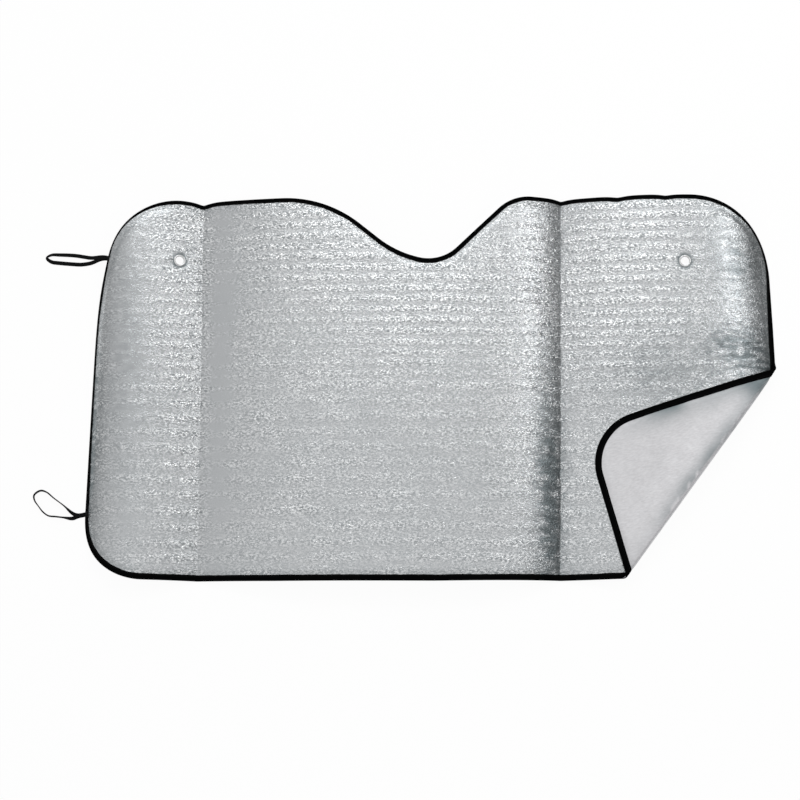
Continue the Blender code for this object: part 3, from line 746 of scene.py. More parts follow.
def foil_front(settings):
    """Bright metallised film over bubbles, with the fine crinkle that is pressed into it.

    Short ridges are where a noise crosses its middle value. They grow with the sheet's own crinkled
    share, and where they are strong their tops get painted glints and their feet painted shade.
    """
    look = Look("silver bubble foil")
    cut = look.cut()
    crinkle_map = look.scaled(cut, (0.8, 1.35, 1.0), 0.2)
    coarse = look.noise(crinkle_map, 0.9 / settings.crinkle_size, 1.5, 0.5, 0.5)
    fine = look.noise(crinkle_map, 1.5 / settings.crinkle_size, 1.0, 0.5, 0.6)
    ridged = look.sum(look.sum(coarse, 0.5, "SUBTRACT"), 0.0, "ABSOLUTE")
    relief = look.sum(look.times(ridged, 1.8), look.times(fine, 0.8))
    crinkled = look.share("crinkled")
    painted_shade = look.share("painted_shade")
    height = look.times(relief, look.between(crinkled, 0.0, 1.0, settings.smooth_share, 1.0))
    normal = look.bump(height, settings.crinkle_depth)
    # Painted glints: near white flecks on the crinkles' tops, where the crinkled share is high
    fleck = look.noise(crinkle_map, 1.05 / settings.crinkle_size, 1.0, 0.5, 0.9)
    painted_glint = look.between(fleck, 0.50, 0.62, 0.0, 1.0)
    painted_glint = look.times(painted_glint, look.between(crinkled, 0.03, 0.75, 0.0, 0.9))
    painted_glint = look.times(painted_glint, look.between(painted_shade, 0.0, 1.0, 1.0, 0.2))
    # Painted shade at the crinkles' feet, beside the painted glints
    painted_fleck_shade = look.between(fleck, 0.38, 0.50, 1.0, 0.0)
    painted_fleck_shade = look.times(painted_fleck_shade, look.between(crinkled, 0.03, 0.65, 0.0, 0.6))
    # Painted shade: the film's colour is pulled towards a darker teal grey by the painted shade share and at
    # the crinkles' feet
    dark = toned(settings.dull_colour, TEAL_SHADE)
    colour = look.blend(look.noise(cut, 9.0, 2.0), settings.dull_colour, settings.foil_colour)
    colour = look.blend(look.times(painted_shade, 0.9), colour, dark)
    colour = look.blend(painted_fleck_shade, colour, dark)
    colour = look.blend(painted_glint, colour, settings.glint_colour)
    roughness = look.between(fine, 0.3, 0.7, settings.roughness - 0.05, settings.roughness + 0.06)
    return look.finish(Base_Color=colour, Metallic=settings.metallic, Roughness=roughness, Normal=normal)


def foil_back(settings):
    """Satin silver film of the back, smoother than the front, with the bubbles showing faintly."""
    look = Look("satin silver film")
    cut = look.cut()
    fine = look.noise(cut, 260.0, 2.0, 0.55)
    wide = look.noise(cut, 34.0, 2.0, 0.5)
    normal = look.bump(fine, 0.00012, look.bump(wide, 0.0012))
    grain = look.noise(look.scaled(cut, (1.0, 0.3, 1.0), 0.9), 330.0, 2.0, 0.6)
    grain = look.between(grain, 0.35, 0.65, 0.0, 0.6)
    cloud = look.sum(look.between(look.noise(cut, 24.0, 4.0, 0.6), 0.3, 0.7, 0.0, 0.4), grain)
    colour = look.blend(cloud, toned(settings.back_colour, 0.8), settings.back_colour)
    # Painted shade: the back film is darkened towards a teal grey along the flap's edge, its tip and the
    # fold
    colour = look.blend(look.share("painted_shade"), colour, toned(settings.back_colour, TEAL_BACK_SHADE))
    roughness = look.between(fine, 0.3, 0.7, 0.42, 0.54)
    return look.finish(Base_Color=colour, Metallic=0.55, Roughness=roughness, Normal=normal)


def woven_tape(settings):
    """Black woven polyester tape: fine crossed threads, a little lighter on their tops."""
    look = Look("black woven tape")
    cut = look.cut()
    along = look.wave(cut, 160.0, 0.6)
    weave = look.times(along, look.wave(look.scaled(cut, (1.0, 1.0, 1.0), math.pi / 2), 160.0, 0.6))
    wear = look.noise(cut, 40.0, 3.0)
    normal = look.bump(weave, 0.00022, look.bump(wear, 0.0006))
    # Painted sheen: the threads' tops are lighter, varied by a wear noise
    light = toned(settings.tape_colour, 2.5, 0.001)
    colour = look.blend(look.times(weave, wear), settings.tape_colour, light)
    return look.finish(Base_Color=colour, Roughness=0.9, Normal=normal, Specular_IOR_Level=0.01)


def sewing_thread(settings):
    """Black polyester sewing thread, with its twist."""
    look = Look("black sewing thread")
    twist = look.wave(look.scaled(look.cut(), (1, 1, 1), 0.6), 700.0)
    normal = look.bump(twist, 0.0001)
    # Painted sheen: the twist's ridges are lighter
    colour = look.blend(twist, settings.tape_colour, toned(settings.tape_colour, 3.0))
    return look.finish(Base_Color=colour, Roughness=0.6, Normal=normal, Specular_IOR_Level=0.25)


def bright_metal(settings):
    """Plated eyelet: bright, with faint turning marks and dulling."""
    look = Look("bright plated eyelet")
    cloud = look.noise(look.cut(), 300.0, 3.0)
    marks = look.noise(look.scaled(look.cut(), (1.0, 12.0, 1.0)), 500.0, 2.0)
    colour = look.blend(cloud, toned(settings.metal_colour, 0.75), settings.metal_colour)
    roughness = look.between(cloud, 0.3, 0.7, 0.14, 0.26)
    normal = look.bump(marks, 0.00003)
    return look.finish(Base_Color=colour, Metallic=1.0, Roughness=roughness, Normal=normal)


def ribbed_elastic(settings):
    """Black braided elastic: ribs along the band crossed by fine threads."""
    look = Look("black ribbed elastic")
    cut = look.cut()
    cross = look.wave(cut, 190.0, 0.4)
    fuzz = look.noise(cut, 900.0, 2.0)
    normal = look.bump(fuzz, 0.0001, look.bump(cross, 0.00025))
    # Painted sheen: the crossing threads' tops are lighter where the fine fuzz is high
    light = toned(settings.elastic_colour, 2.4, 0.002)
    colour = look.blend(look.times(cross, fuzz), settings.elastic_colour, light)
    return look.finish(Base_Color=colour, Roughness=0.86, Normal=normal, Specular_IOR_Level=0.1)


# Settings


class SheetSettings(bpy.types.PropertyGroup):
    """Sizes and colours of the foil sheet."""

    row_pitch: FloatProperty(
        name="Bubble row pitch", description="Distance between rows of bubbles",
        default=22.9 * MM, unit="LENGTH",
    )
    row_height: FloatProperty(
        name="Bubble row height", description="Height of a row over the hollows",
        default=0.42 * MM, unit="LENGTH",
    )
    crinkle_size: FloatProperty(
        name="Crinkle size", description="Size of the pressed crinkles", default=4.2 * MM, unit="LENGTH"
    )
    crinkle_depth: FloatProperty(
        name="Crinkle depth", description="Depth of the pressed crinkles", default=0.95 * MM, unit="LENGTH"
    )
    smooth_share: FloatProperty(
        name="Smooth share", description="Share of the crinkle left in the smooth parts",
        default=0.42, min=0, max=1,
    )
    foil_colour: FloatVectorProperty(
        name="Foil", description="Colour of the front film", default=(0.50, 0.51, 0.52), subtype="COLOR"
    )
    # Also the base colour that the painted shade darkens
    dull_colour: FloatVectorProperty(
        name="Dull foil", description="Colour where the front film is duller", default=(0.455, 0.475, 0.485),
        subtype="COLOR",
    )
    # Colour of the painted glints on the crinkles' tops
    glint_colour: FloatVectorProperty(
        name="Frosted foil", description="Colour on the tops of the crinkles", default=(0.93, 0.94, 0.945),
        subtype="COLOR",
    )
    back_colour: FloatVectorProperty(
        name="Back film", description="Colour of the back film",
        default=(0.705, 0.701, 0.717), subtype="COLOR",
    )
    metallic: FloatProperty(
        name="Metallic", description="How metallic the front is", default=0.95, min=0, max=1
    )
    roughness: FloatProperty(
        name="Roughness", description="Roughness of the front", default=0.18, min=0, max=1
    )


class TapeSettings(bpy.types.PropertyGroup):
    """Sizes and colours of the edge tape and its stitches."""

    tape_width: FloatProperty(
        name="Tape width", description="Width seen on each face", default=12 * MM, unit="LENGTH"
    )
    ring_step: FloatProperty(
        name="Step", description="Distance between sections of the tape", default=4 * MM, unit="LENGTH"
    )
    tape_colour: FloatVectorProperty(
        name="Tape", description="Colour of the tape", default=(0.0012, 0.0013, 0.0014), subtype="COLOR"
    )
    stitch_pitch: FloatProperty(
        name="Stitch pitch", description="Distance between stitches", default=5.5 * MM, unit="LENGTH"
    )
    stitch_length: FloatProperty(
        name="Stitch length", description="Length of a stitch", default=4.2 * MM, unit="LENGTH"
    )
    thread_width: FloatProperty(
        name="Thread", description="Thickness of the thread", default=0.55 * MM, unit="LENGTH"
    )
    tack_length: FloatProperty(
        name="Bar tack", description="Length of the bar tack at each loop", default=11 * MM, unit="LENGTH"
    )
    tack_stitches: IntProperty(
        name="Tack stitches", description="Stitches in each bar tack", default=19, min=2
    )


class EyeletSettings(bpy.types.PropertyGroup):
    """Sizes and colour of the eyelets."""

    bore: FloatProperty(name="Bore", description="Width of the hole", default=18 * MM, unit="LENGTH")
    flange: FloatProperty(name="Flange", description="Width over the rim", default=26 * MM, unit="LENGTH")
    rim: FloatProperty(name="Rim", description="Height of the rolled rim", default=1.6 * MM, unit="LENGTH")
    sides: IntProperty(name="Sides", description="Facets round the eyelet", default=72, min=12)
    metal_colour: FloatVectorProperty(
        name="Metal", description="Colour of the plated metal", default=(0.68, 0.685, 0.69), subtype="COLOR"
    )


class ElasticSettings(bpy.types.PropertyGroup):
    """Sizes and colour of the elastic loops."""

    band_width: FloatProperty(name="Width", description="Width of the band", default=8.5 * MM, unit="LENGTH")
    band_thickness: FloatProperty(
        name="Thickness", description="Thickness of the band", default=1.2 * MM, unit="LENGTH"
    )
    ribs: IntProperty(name="Ribs", description="Ribs along the band", default=5, min=2)
    band_step: FloatProperty(
        name="Step", description="Distance between sections of the band", default=1.6 * MM, unit="LENGTH"
    )
    elastic_colour: FloatVectorProperty(
        name="Elastic", description="Colour of the elastic", default=(0.0026, 0.0027, 0.003), subtype="COLOR"
    )


class StageSettings(bpy.types.PropertyGroup):
    """Camera, floor and light."""

    elevation: FloatProperty(
        name="Elevation", description="Angle of the camera over the floor", default=math.radians(80),
        subtype="ANGLE",
    )
    distance: FloatProperty(
        name="Distance", description="Camera to the middle of the shade", default=5.0, unit="LENGTH"
    )
    scale: FloatProperty(
        name="Scale", description="Metres to a hundredth of the picture's width", default=2.095 * 8 * MM
    )
    floor_colour: FloatVectorProperty(
        name="Floor", description="Colour of the floor", default=(0.96, 0.96, 0.96), subtype="COLOR"
    )


# Foil sheet


def sheet_columns():
    """Columns between the upright limits, closer at the creases: even steps of a summed density."""
    u = np.linspace(UPRIGHT_FROM, UPRIGHT_TO, 4000)
    close = sum(np.exp(-(((u - crease) / (14 * MM)) ** 2)) for crease in (LEFT_CREASE, RIGHT_CREASE))
    density = 1 + 1.3 * close
    summed = np.concatenate([[0], np.cumsum((density[1:] + density[:-1]) / 2)])
    return np.interp(np.linspace(0, summed[-1], MIDDLE_COLUMNS + 1), summed, u)


def ring_part(outline, first, last):
    """The outline from one index round to another."""
    if last < first:
        last += len(outline)
    return outline[np.arange(first, last + 1) % len(outline)]


def sheet_grids():
    """Points of the body and of the flap on the blank.

    The body is a blend of its four edges: the mean of the bottom and top curve weighted by the row,
    plus each side curve's distance from its own chord, which fades to nothing over the outer columns.
    The flap goes from the fold line straight over it to the edge, first in even steps round the turn.
    """
    outline = blank_outline(OUTLINE_STEP)
    corners = np.array([corner[:2] for corner in outline_corners()])
    low_left, high_right, high_left = (
        int(np.argmin(np.linalg.norm(outline - corners[index], axis=1))) for index in (0, 4, 9)
    )
    start, along, towards = fold_line()
    beyond = (outline - start) @ towards
    ahead = np.roll(beyond, -1)
    over = int(np.flatnonzero((beyond <= 0) & (ahead > 0))[0])
    back = int(np.flatnonzero((beyond > 0) & (ahead <= 0))[0])
    following = np.roll(outline, -1, axis=0)
    cross = [
        outline[at] + (following[at] - outline[at]) * beyond[at] / (beyond[at] - ahead[at])
        for at in (over, back)
    ]
    bottom = np.vstack([ring_part(outline, low_left, over), cross[:1]])
    right = np.vstack([cross[1:], ring_part(outline, back + 1, high_right)])
    top = ring_part(outline, high_right, high_left)[::-1]
    left = ring_part(outline, high_left, low_left)[::-1]
    flap_edge = np.vstack([cross[:1], ring_part(outline, over + 1, back), cross[1:]])

    upright = sheet_columns()
    left_share = np.arange(LEFT_COLUMNS) / LEFT_COLUMNS
    right_share = np.arange(1, RIGHT_COLUMNS + 1) / RIGHT_COLUMNS
    curves = []
    for curve in (bottom, top):
        u = np.concatenate([
            curve[0, 0] + (UPRIGHT_FROM - curve[0, 0]) * left_share,
            upright,
            UPRIGHT_TO + (curve[-1, 0] - UPRIGHT_TO) * right_share,
        ])
        curves.append(np.column_stack([u, np.interp(u, curve[:, 0], curve[:, 1])]))
    none_between = np.zeros(MIDDLE_COLUMNS + 1)
    to_left = np.concatenate([1 - left_share, none_between, np.zeros(RIGHT_COLUMNS)])
    to_right = np.concatenate([np.zeros(LEFT_COLUMNS), none_between, right_share])
    row = np.arange(SHEET_ROWS + 1) / SHEET_ROWS
    left_v = left[0, 1] + (left[-1, 1] - left[0, 1]) * row
    left_side = np.column_stack([np.interp(left_v, left[:, 1], left[:, 0]), left_v])
    on_fold = cross[0] + (cross[1] - cross[0]) * (np.arange(FOLD_ROWS + 1) / FOLD_ROWS)[:, None]
    right_v = np.linspace(right[0, 1], right[-1, 1], SHEET_ROWS - FOLD_ROWS + 1)[1:]
    on_side = np.column_stack([np.interp(right_v, right[:, 1], right[:, 0]), right_v])
    right_side = np.vstack([on_fold, on_side])
    body = (1 - row)[None, :, None] * curves[0][:, None] + row[None, :, None] * curves[1][:, None]
    for weight, side in ((to_left, left_side), (to_right, right_side)):
        chord = side[0] + (side[-1] - side[0]) * row[:, None]
        body += weight[:, None, None] * (side - chord)[None]

    edge_along = (flap_edge - start) @ along
    edge_beyond = (flap_edge - start) @ towards
    deep = np.interp((on_fold - start) @ along, edge_along, edge_beyond)
    deep[[0, -1]] = 0
    steps = np.arange(TURN_ROWS + FLAP_ROWS + 1)
    turn = np.minimum(steps[None] * FOLD_ARC / TURN_ROWS, steps[None] * deep[:, None] / steps[-1])
    turned = turn[:, TURN_ROWS : TURN_ROWS + 1]
    rest = turned + (deep[:, None] - turned) * (steps[None] - TURN_ROWS) / FLAP_ROWS
    reach = np.where(steps[None] <= TURN_ROWS, turn, rest)
    flap = on_fold[:, None] + reach[:, :, None] * towards
    return body, flap, outline


def open_eyelet(body, centre):
    """Draw the grid round an eyelet: rings of the grid become circles that fade back into squares.

    Returns the column and row of the grid point that is carried to the eyelet's middle.
    """
    away = np.linalg.norm(body - np.array(centre), axis=2)
    column, row = np.unravel_index(np.argmin(away), away.shape)
    column, row = (2 * round(place / 2) for place in (column, row))
    grid_middle = body[column, row].copy()
    columns, rows = np.indices(away.shape)
    ring = np.maximum(abs(columns - column), abs(rows - row))
    offset = body - grid_middle
    length = np.maximum(np.linalg.norm(offset, axis=2), ON_LINE)
    radius = np.interp(ring, (0, 4, 6, 8, 12), (0, HOLE_RADIUS, 14 * MM, 24 * MM, 46 * MM))
    circle = offset / length[:, :, None] * radius[:, :, None]
    share = (1 - ease((ring - 6) / 6))[:, :, None]
    drift = (1 - ease((ring - 8) / 10))[:, :, None]
    body += drift * (np.array(centre) - grid_middle) + share * (circle - offset)
    return column, row


def sheet_faces_heights(u, v, edge):
    """Middle height and thickness of the sheet, pinched by the tape, creases and eyelet seats."""
    nearest = np.minimum(abs(u - LEFT_CREASE), abs(u - right_crease(v)))
    crease = 1 - ease((nearest - CREASE_WIDTH / 2) / CREASE_TAPER)
    pinch = 1 - ease((edge - PINCH_WIDTH) / EDGE_TAPER)
    seat = np.zeros_like(u)
    for centre in EYELETS.values():
        away = np.hypot(u - centre[0], v - centre[1])
        seat = np.maximum(seat, 1 - ease((away - EYELET_SEAT) / EYELET_SEAT_TAPER))
    lost = SHEET_THICKNESS - PRESSED_THICKNESS
    pressed = np.maximum(np.maximum(pinch, CREASE_PRESS * crease), seat)
    middle = -lost / 2 * CREASE_PRESS * crease * (1 - pinch)
    return middle, SHEET_THICKNESS - lost * pressed, 1 - np.maximum(np.maximum(pinch, crease), seat)


def row_turn(v, settings):
    """Turn through the bubble rows at a height: the rows of the lower half are wider apart."""
    return 2 * math.pi * np.where(v > 0, v, 0.7 * v) / settings.row_pitch


def bubble_relief(u, v, settings):
    """Height of the bubble rows: waves up the sheet, stronger on every second row, broken into lumps."""
    drift = 0.10 * soft_noise(u, v, 90 * MM, 40 * MM, 3)
    turn = row_turn(v, settings) + 2 * math.pi * drift
    rows = 0.72 * np.cos(turn) + 0.28 * np.cos(turn / 2)
    lumps = soft_noise(u, v, 11 * MM, settings.row_pitch / 2, 5)
    return settings.row_height * (rows * (0.6 + 0.6 * lumps) + 0.6 * lumps)


def wrinkle_relief(u, v):
    """Height of wrinkles and weak creases.

    In each soft patch, waves run across their own direction, shifted and broken by noise. A weak
    crease is a bell shaped furrow across u that fades up and down.
    """
    height = np.zeros_like(u)
    for number, (middle, size, turn, pitch, tall) in enumerate(WRINKLES):
        angle = math.radians(turn)
        across = (v - middle[1]) * math.cos(angle) - (u - middle[0]) * math.sin(angle)
        shift = 0.35 * soft_noise(u, v, 2.5 * pitch, 2.5 * pitch, 20 + number)
        broken = 0.6 + 0.5 * soft_noise(u, v, 2 * pitch, pitch, 40 + number)
        height += tall * patch(u, v, middle, size) * broken * np.cos(2 * math.pi * (across / pitch + shift))
    for place, middle, reach, depth in WEAK_CREASES:
        wander = 3 * MM * soft_noise(u, v, 500 * MM, 45 * MM, 60)
        height -= depth * patch(u + wander, v, (place, middle), (WEAK_CREASE_WIDTH, reach))
    return height


def crinkle_share(u, v, settings):
    """How crinkled the film is, from 0 to 1: soft patches where it was handled, broken up by the rows."""
    strong = sum(weight * patch(u, v, middle, size) for middle, size, weight in CRINKLED_PATCHES)
    cloud = 0.12 * soft_noise(u, v, 70 * MM, 50 * MM, 8) + 0.1 * soft_noise(u, v, 25 * MM, 15 * MM, 9)
    rows = 0.5 + 0.5 * np.cos(row_turn(v, settings) + 0.6 * soft_noise(u, v, 90 * MM, 40 * MM, 3))
    blocks = 1 + 0.25 * np.cos(2 * math.pi * u / BLOCK_WIDTH + 2 * soft_noise(u, v, 200 * MM, 60 * MM, 14))
    lift = np.where(strong > 0, 1.4 * rows**2 * blocks, 1)
    return np.clip((PLAIN_CRINKLE + cloud) * (0.65 + 0.55 * rows) + strong * lift, 0, 1)


def painted_shade_share(u, v, edge):
    """How much painted shade the film gets, from 0 to 1.

    On the body it is soft streaky patches, and a rim beside the tape and round the eyelets. On the
    folded corner it is a band along the side edge, the tip, and a band along the fold.
    """
    # Painted shade: soft patches broken by noise, then a rim beside the tape and round each eyelet
    painted_shade = sum(weight * patch(u, v, middle, size) for middle, size, weight in PAINTED_SHADE_PATCHES)
    painted_shade = painted_shade * (1 + 0.8 * soft_noise(u, v, 14 * MM, 6 * MM, 13))
    painted_shade += 0.22 * np.exp(-(((edge - PINCH_WIDTH) / RIM_WIDTH) ** 2))
    for centre in EYELETS.values():
        away = np.hypot(u - centre[0], v - centre[1])
        painted_shade = np.maximum(painted_shade, 1 - ease((away - EYELET_SEAT) / EYELET_RIM_WIDTH))
    start, _, towards = fold_line()
    past = np.column_stack([u, v]) @ towards - start @ towards - FOLD_ARC
    side = ease((v + BLANK_HEIGHT / 2 - 30 * MM) / (170 * MM))
    tip = ease((v + 90 * MM) / (130 * MM))
    band = 0.85 * side * np.exp(-((edge / FLAP_SHADE) ** 2)) + 0.36 * tip
    band += (0.15 + 0.35 * side) * np.exp(-((past / FOLD_SHADE) ** 2))
    band = band * (1 + 0.5 * soft_noise(u, v, 40 * MM, 40 * MM, 23))
    return np.clip(np.where(past > 0, band, painted_shade), 0, 1)


def build_sheet(settings):
    """The closed sheet: a fine front and a back of half as many rows, joined round the edge and holes."""
    body, flap, outline = sheet_grids()
    holes = [open_eyelet(body, centre) for centre in EYELETS.values()]
    body_index = np.arange(body.shape[0] * body.shape[1]).reshape(body.shape[:2])
    flap_index = body_index.size + np.arange(flap.shape[0] * flap.shape[1]).reshape(flap.shape[:2])
    flap_index[:, 0] = body_index[-1, : FOLD_ROWS + 1]
    flap_index[0] = body_index[-1, 0]
    flap_index[-1] = body_index[-1, FOLD_ROWS]
    flat = np.vstack([body.reshape(-1, 2), flap.reshape(-1, 2)])

    def layer(step):
        """Triangles of one face of the sheet on every so many columns and rows."""
        grid = body_index[::step, ::step]
        columns, rows = np.indices((grid.shape[0] - 1, grid.shape[1] - 1))
        cross = (columns < grid.shape[0] / 2) != (rows < grid.shape[1] / 2)
        kept = np.ones(columns.shape, bool)
        for column, row in holes:
            middle = np.maximum(abs(columns + 0.5 - column / step), abs(rows + 0.5 - row / step))
            kept &= middle > HOLE_RINGS / step
        quads = [grid[:-1, :-1], grid[1:, :-1], grid[1:, 1:], grid[:-1, 1:]]
        made = triangles(*(corner[kept] for corner in quads), cross[kept])
        turned = flap_index[::step, ::step]
        over = triangles(turned[:-1, :-1], turned[:-1, 1:], turned[1:, 1:], turned[1:, :-1])
        return whole(np.vstack([made, over]))

    front, back = layer(1), layer(BACK_STRIDE)
    rims = [np.concatenate([
        body_index[:-1, 0], flap_index[:-1, -1], body_index[-1, FOLD_ROWS:-1],
        body_index[:0:-1, -1], body_index[0, :0:-1],
    ])]
    for column, row in holes:
        reach = HOLE_RINGS
        square = body_index[column - reach : column + reach + 1, row - reach : row + reach + 1]
        sides = [square[0, :-1], square[:-1, -1], square[-1, :0:-1], square[:0:-1, 0]]
        rims.append(np.concatenate(sides))

    edge = edge_distance(flat, outline[::3])
    u, v = flat.T
    middle, thickness, free = sheet_faces_heights(u, v, edge)
    crinkled = crinkle_share(u, v, settings)
    middle += free * wrinkle_relief(u, v)
    relief = free * bubble_relief(u, v, settings) * (0.45 + 0.75 * crinkled)
    top = middle + thickness / 2 + relief
    under = middle - thickness / 2 + 0.3 * relief
    used_front = np.unique(front)
    used_back = np.unique(back)
    front_place = np.full(len(flat), -1)
    front_place[used_front] = np.arange(len(used_front))
    back_place = np.full(len(flat), -1)
    back_place[used_back] = len(used_front) + np.arange(len(used_back))
    points = np.vstack([
        np.column_stack([flat[used_front], top[used_front]]),
        np.column_stack([flat[used_back], under[used_back]]),
    ])
    faces = [front_place[front], back_place[back][:, ::-1]]
    for rim in rims:
        first, second, third = rim[::2], rim[1::2], np.roll(rim, -2)[::2]
        above = [front_place[part] for part in (first, second, third)]
        below = [back_place[part] for part in (first, third)]
        faces.append(np.column_stack([below[0], below[1], above[1]]))
        faces.append(np.column_stack([below[0], above[1], above[0]]))
        faces.append(np.column_stack([below[1], above[2], above[1]]))
    film = np.zeros(sum(len(part) for part in faces))
    film[len(faces[0]) : len(faces[0]) + len(faces[1])] = 1
    looks = [foil_front(settings), foil_back(settings)]
    # The second share is painted shade, which darkens the films' colour
    shares = {"crinkled": crinkled, "painted_shade": painted_shade_share(u, v, edge)}
    shares = {name: np.concatenate([share[used_front], share[used_back]]) for name, share in shares.items()}
    return make_piece(
        "foil_sheet_dressed", put(points), np.vstack(faces), points[:, :2], looks, film, shares=shares
    )


# Edge tape


def front_width(outline, width):
    """Width of the tape on the front: narrower where it is turned further over onto the back."""
    u, v = outline.T
    narrow = 0.3 * ease((v - 0.15) / 0.2)
    narrow += sum(weight * patch(u, v, middle, size) for middle, size, weight in NARROW_TAPE)
    return width * (1 - np.clip(narrow, 0, NARROWEST_TAPE))


def build_tape(settings):
    """The tape's folded section carried round the outline, a little uneven in width and height."""
    outline = blank_outline(settings.ring_step)
    u, v = outline.T
    wander = soft_noise(u, v, 23 * MM, 23 * MM, 11)
    pucker = soft_noise(u, v, 9 * MM, 9 * MM, 12)
    front = front_width(outline, settings.tape_width) + 0.35 * MM * wander + 0.4 * MM * pucker
    back = np.full_like(front, settings.tape_width) + BACK_EXTRA - 0.3 * MM * wander
    nose = np.linspace(math.pi / 2, -math.pi / 2, 9)
    lift = 0.12 * MM * pucker
    section = [(front * share, TAPE_OUTER + height * MM + lift) for share, height in TAPE_SECTION]
    for angle in nose:
        out = NOSE_REACH - (NOSE_REACH + TAPE_NOSE) * math.cos(angle)
        section.append((np.full_like(u, out), np.full_like(u, TAPE_OUTER * math.sin(angle))))
    for share, height in TAPE_SECTION[::-1]:
        section.append((back * share, -TAPE_OUTER - height * MM + lift))
    section += [
        (back, np.full_like(u, -TAPE_INNER)),
        (np.full_like(u, -GAP), np.full_like(u, -TAPE_INNER)),
        (np.full_like(u, -GAP), np.full_like(u, TAPE_INNER)),
        (front, np.full_like(u, TAPE_INNER)),
    ]
    strands = [np.column_stack([inset(outline, out), height]) for out, height in section]
    points = np.stack(strands, axis=1)
    uv = grid_map(travelled_along(outline), np.linspace(0, 3 * settings.tape_width, len(section)))
    faces = tube_faces(len(outline), len(section), closed=True)[:, ::-1]
    points = put(points.reshape(-1, 3))
    return make_piece("edge_binding_dressed", points, faces, uv, [woven_tape(settings)], smooth_to=60)


def left_edge(levels):
    """Place of the blank's left edge across it, at each height."""
    outline = blank_outline(OUTLINE_STEP)
    left = outline[outline[:, 0] < LEFT_CROWN]
    left = left[np.argsort(left[:, 1])]
    kept = np.concatenate([[True], np.diff(left[:, 1]) > ON_LINE])
    return np.interp(levels, left[kept, 1], left[kept, 0])


def stitch_places(settings, face):
    """Middle, heading, half length and lift of every stitch on one face of the tape.

    The stitches follow the outline at a share of the tape's width. At each loop a bar tack of close
    stitches runs across the tape.
    """
    outline = blank_outline(settings.stitch_pitch)
    width = front_width(outline, settings.tape_width) if face > 0 else settings.tape_width
    ahead = np.roll(outline, -1, axis=0) - np.roll(outline, 1, axis=0)
    middle = [inset(outline, np.broadcast_to(STITCH_LINE * width, len(outline)))]
    heading = [unit(ahead)]
    half = [np.full(len(outline), settings.stitch_length / 2)]
    lift = [np.full(len(outline), -0.12 * MM)]
    for height, _ in LOOPS.values():
        levels = height + np.linspace(-0.5, 0.5, settings.tack_stitches) * settings.tack_length
        edge = left_edge(levels)
        wide = settings.tape_width * np.ones_like(edge)
        if face > 0:
            wide = front_width(np.column_stack([edge, levels]), settings.tape_width)
        middle.append(np.column_stack([edge + wide / 2, levels]))
        heading.append(np.tile((1.0, 0.0), (len(levels), 1)))
        half.append(wide / 2 + 0.5 * MM)
        lift.append(np.full(len(levels), 0.2 * MM))
    return np.vstack(middle), np.vstack(heading), np.concatenate(half), np.concatenate(lift)


def build_stitches(settings):
    """Stitches along both faces of the tape: small pillows of thread in the groove they pull."""
    turns = np.linspace(0, 2 * math.pi, THREAD_SIDES, endpoint=False)
    ring = np.array([(math.cos(turn), math.sin(turn)) for turn in turns])
    stations = np.array([(-1.0, 0.25), (-0.8, 0.8), (0.0, 1.0), (0.8, 0.8), (1.0, 0.25)])
    radius = settings.thread_width / 2
    pieces, maps = [], []
    for face in (1, -1):
        middle, heading, half, lift = stitch_places(settings, face)
        aside = np.column_stack([-heading[:, 1], heading[:, 0]])
        along = stations[None, :, None, :1] * half[:, None, None, None]
        side = stations[None, :, None, 1:] * ring[None, None, :, :1] * radius
        rise = stations[None, :, None, 1:] * ring[None, None, :, 1:] * radius
        up = face * (TAPE_OUTER + lift[:, None, None, None] + rise)
        spot = middle[:, None, None] + heading[:, None, None] * along + aside[:, None, None] * side
        pieces.append(np.concatenate([spot, up], -1))
        around = np.broadcast_to(np.arange(THREAD_SIDES)[None, None, :, None] * radius, up.shape)
        maps.append(np.concatenate([np.broadcast_to(along, up.shape), around], -1))
    points = np.concatenate(pieces)
    one = tube_faces(len(stations), THREAD_SIDES, closed=False)
    caps = np.array([(0, 1, 2), (0, 2, 3), (0, 3, 4), (0, 4, 5)])
    ends = np.vstack([caps, (len(stations) - 1) * THREAD_SIDES + caps[:, ::-1]])
    shape = np.vstack([one, ends])
    faces = shape[None] + (np.arange(len(points)) * len(stations) * THREAD_SIDES)[:, None, None]
    in_front = len(points) // 2
    faces[:in_front] = faces[:in_front, :, ::-1]
    uv = np.concatenate(maps).reshape(-1, 2)
    points, faces = put(points.reshape(-1, 3)), faces.reshape(-1, 3)
    return make_piece("edge_stitches", points, faces, uv, [sewing_thread(settings)])


# Eyelets


def eyelet_profile(settings):
    """The clinched ring: a barrel through the foil, a rolled rim in front and a rounded collar behind."""
    bore, flange = settings.bore / 2, settings.flange / 2
    seat = PRESSED_THICKNESS / 2 + GAP
    middle, half = (bore + flange) / 2, (flange - bore) / 2
    turn = np.linspace(0.12, math.pi - 0.12, 15)
    rim = np.column_stack([middle + half * np.cos(turn), seat + settings.rim * np.sin(turn) ** 0.8])
    behind = np.array([
        (bore, -seat - 0.5 * EYELET_BACK),
        (bore + 0.3 * MM, -seat - EYELET_BACK),
        (flange - 0.4 * MM, -seat - EYELET_BACK),
        (flange, -seat - 0.5 * EYELET_BACK),
        (flange - 0.1 * MM, -seat),
        (bore + EYELET_WALL, -seat),
        (bore + EYELET_WALL, seat),
        (flange - 0.1 * MM, seat),
    ])
    return np.vstack([rim, behind])


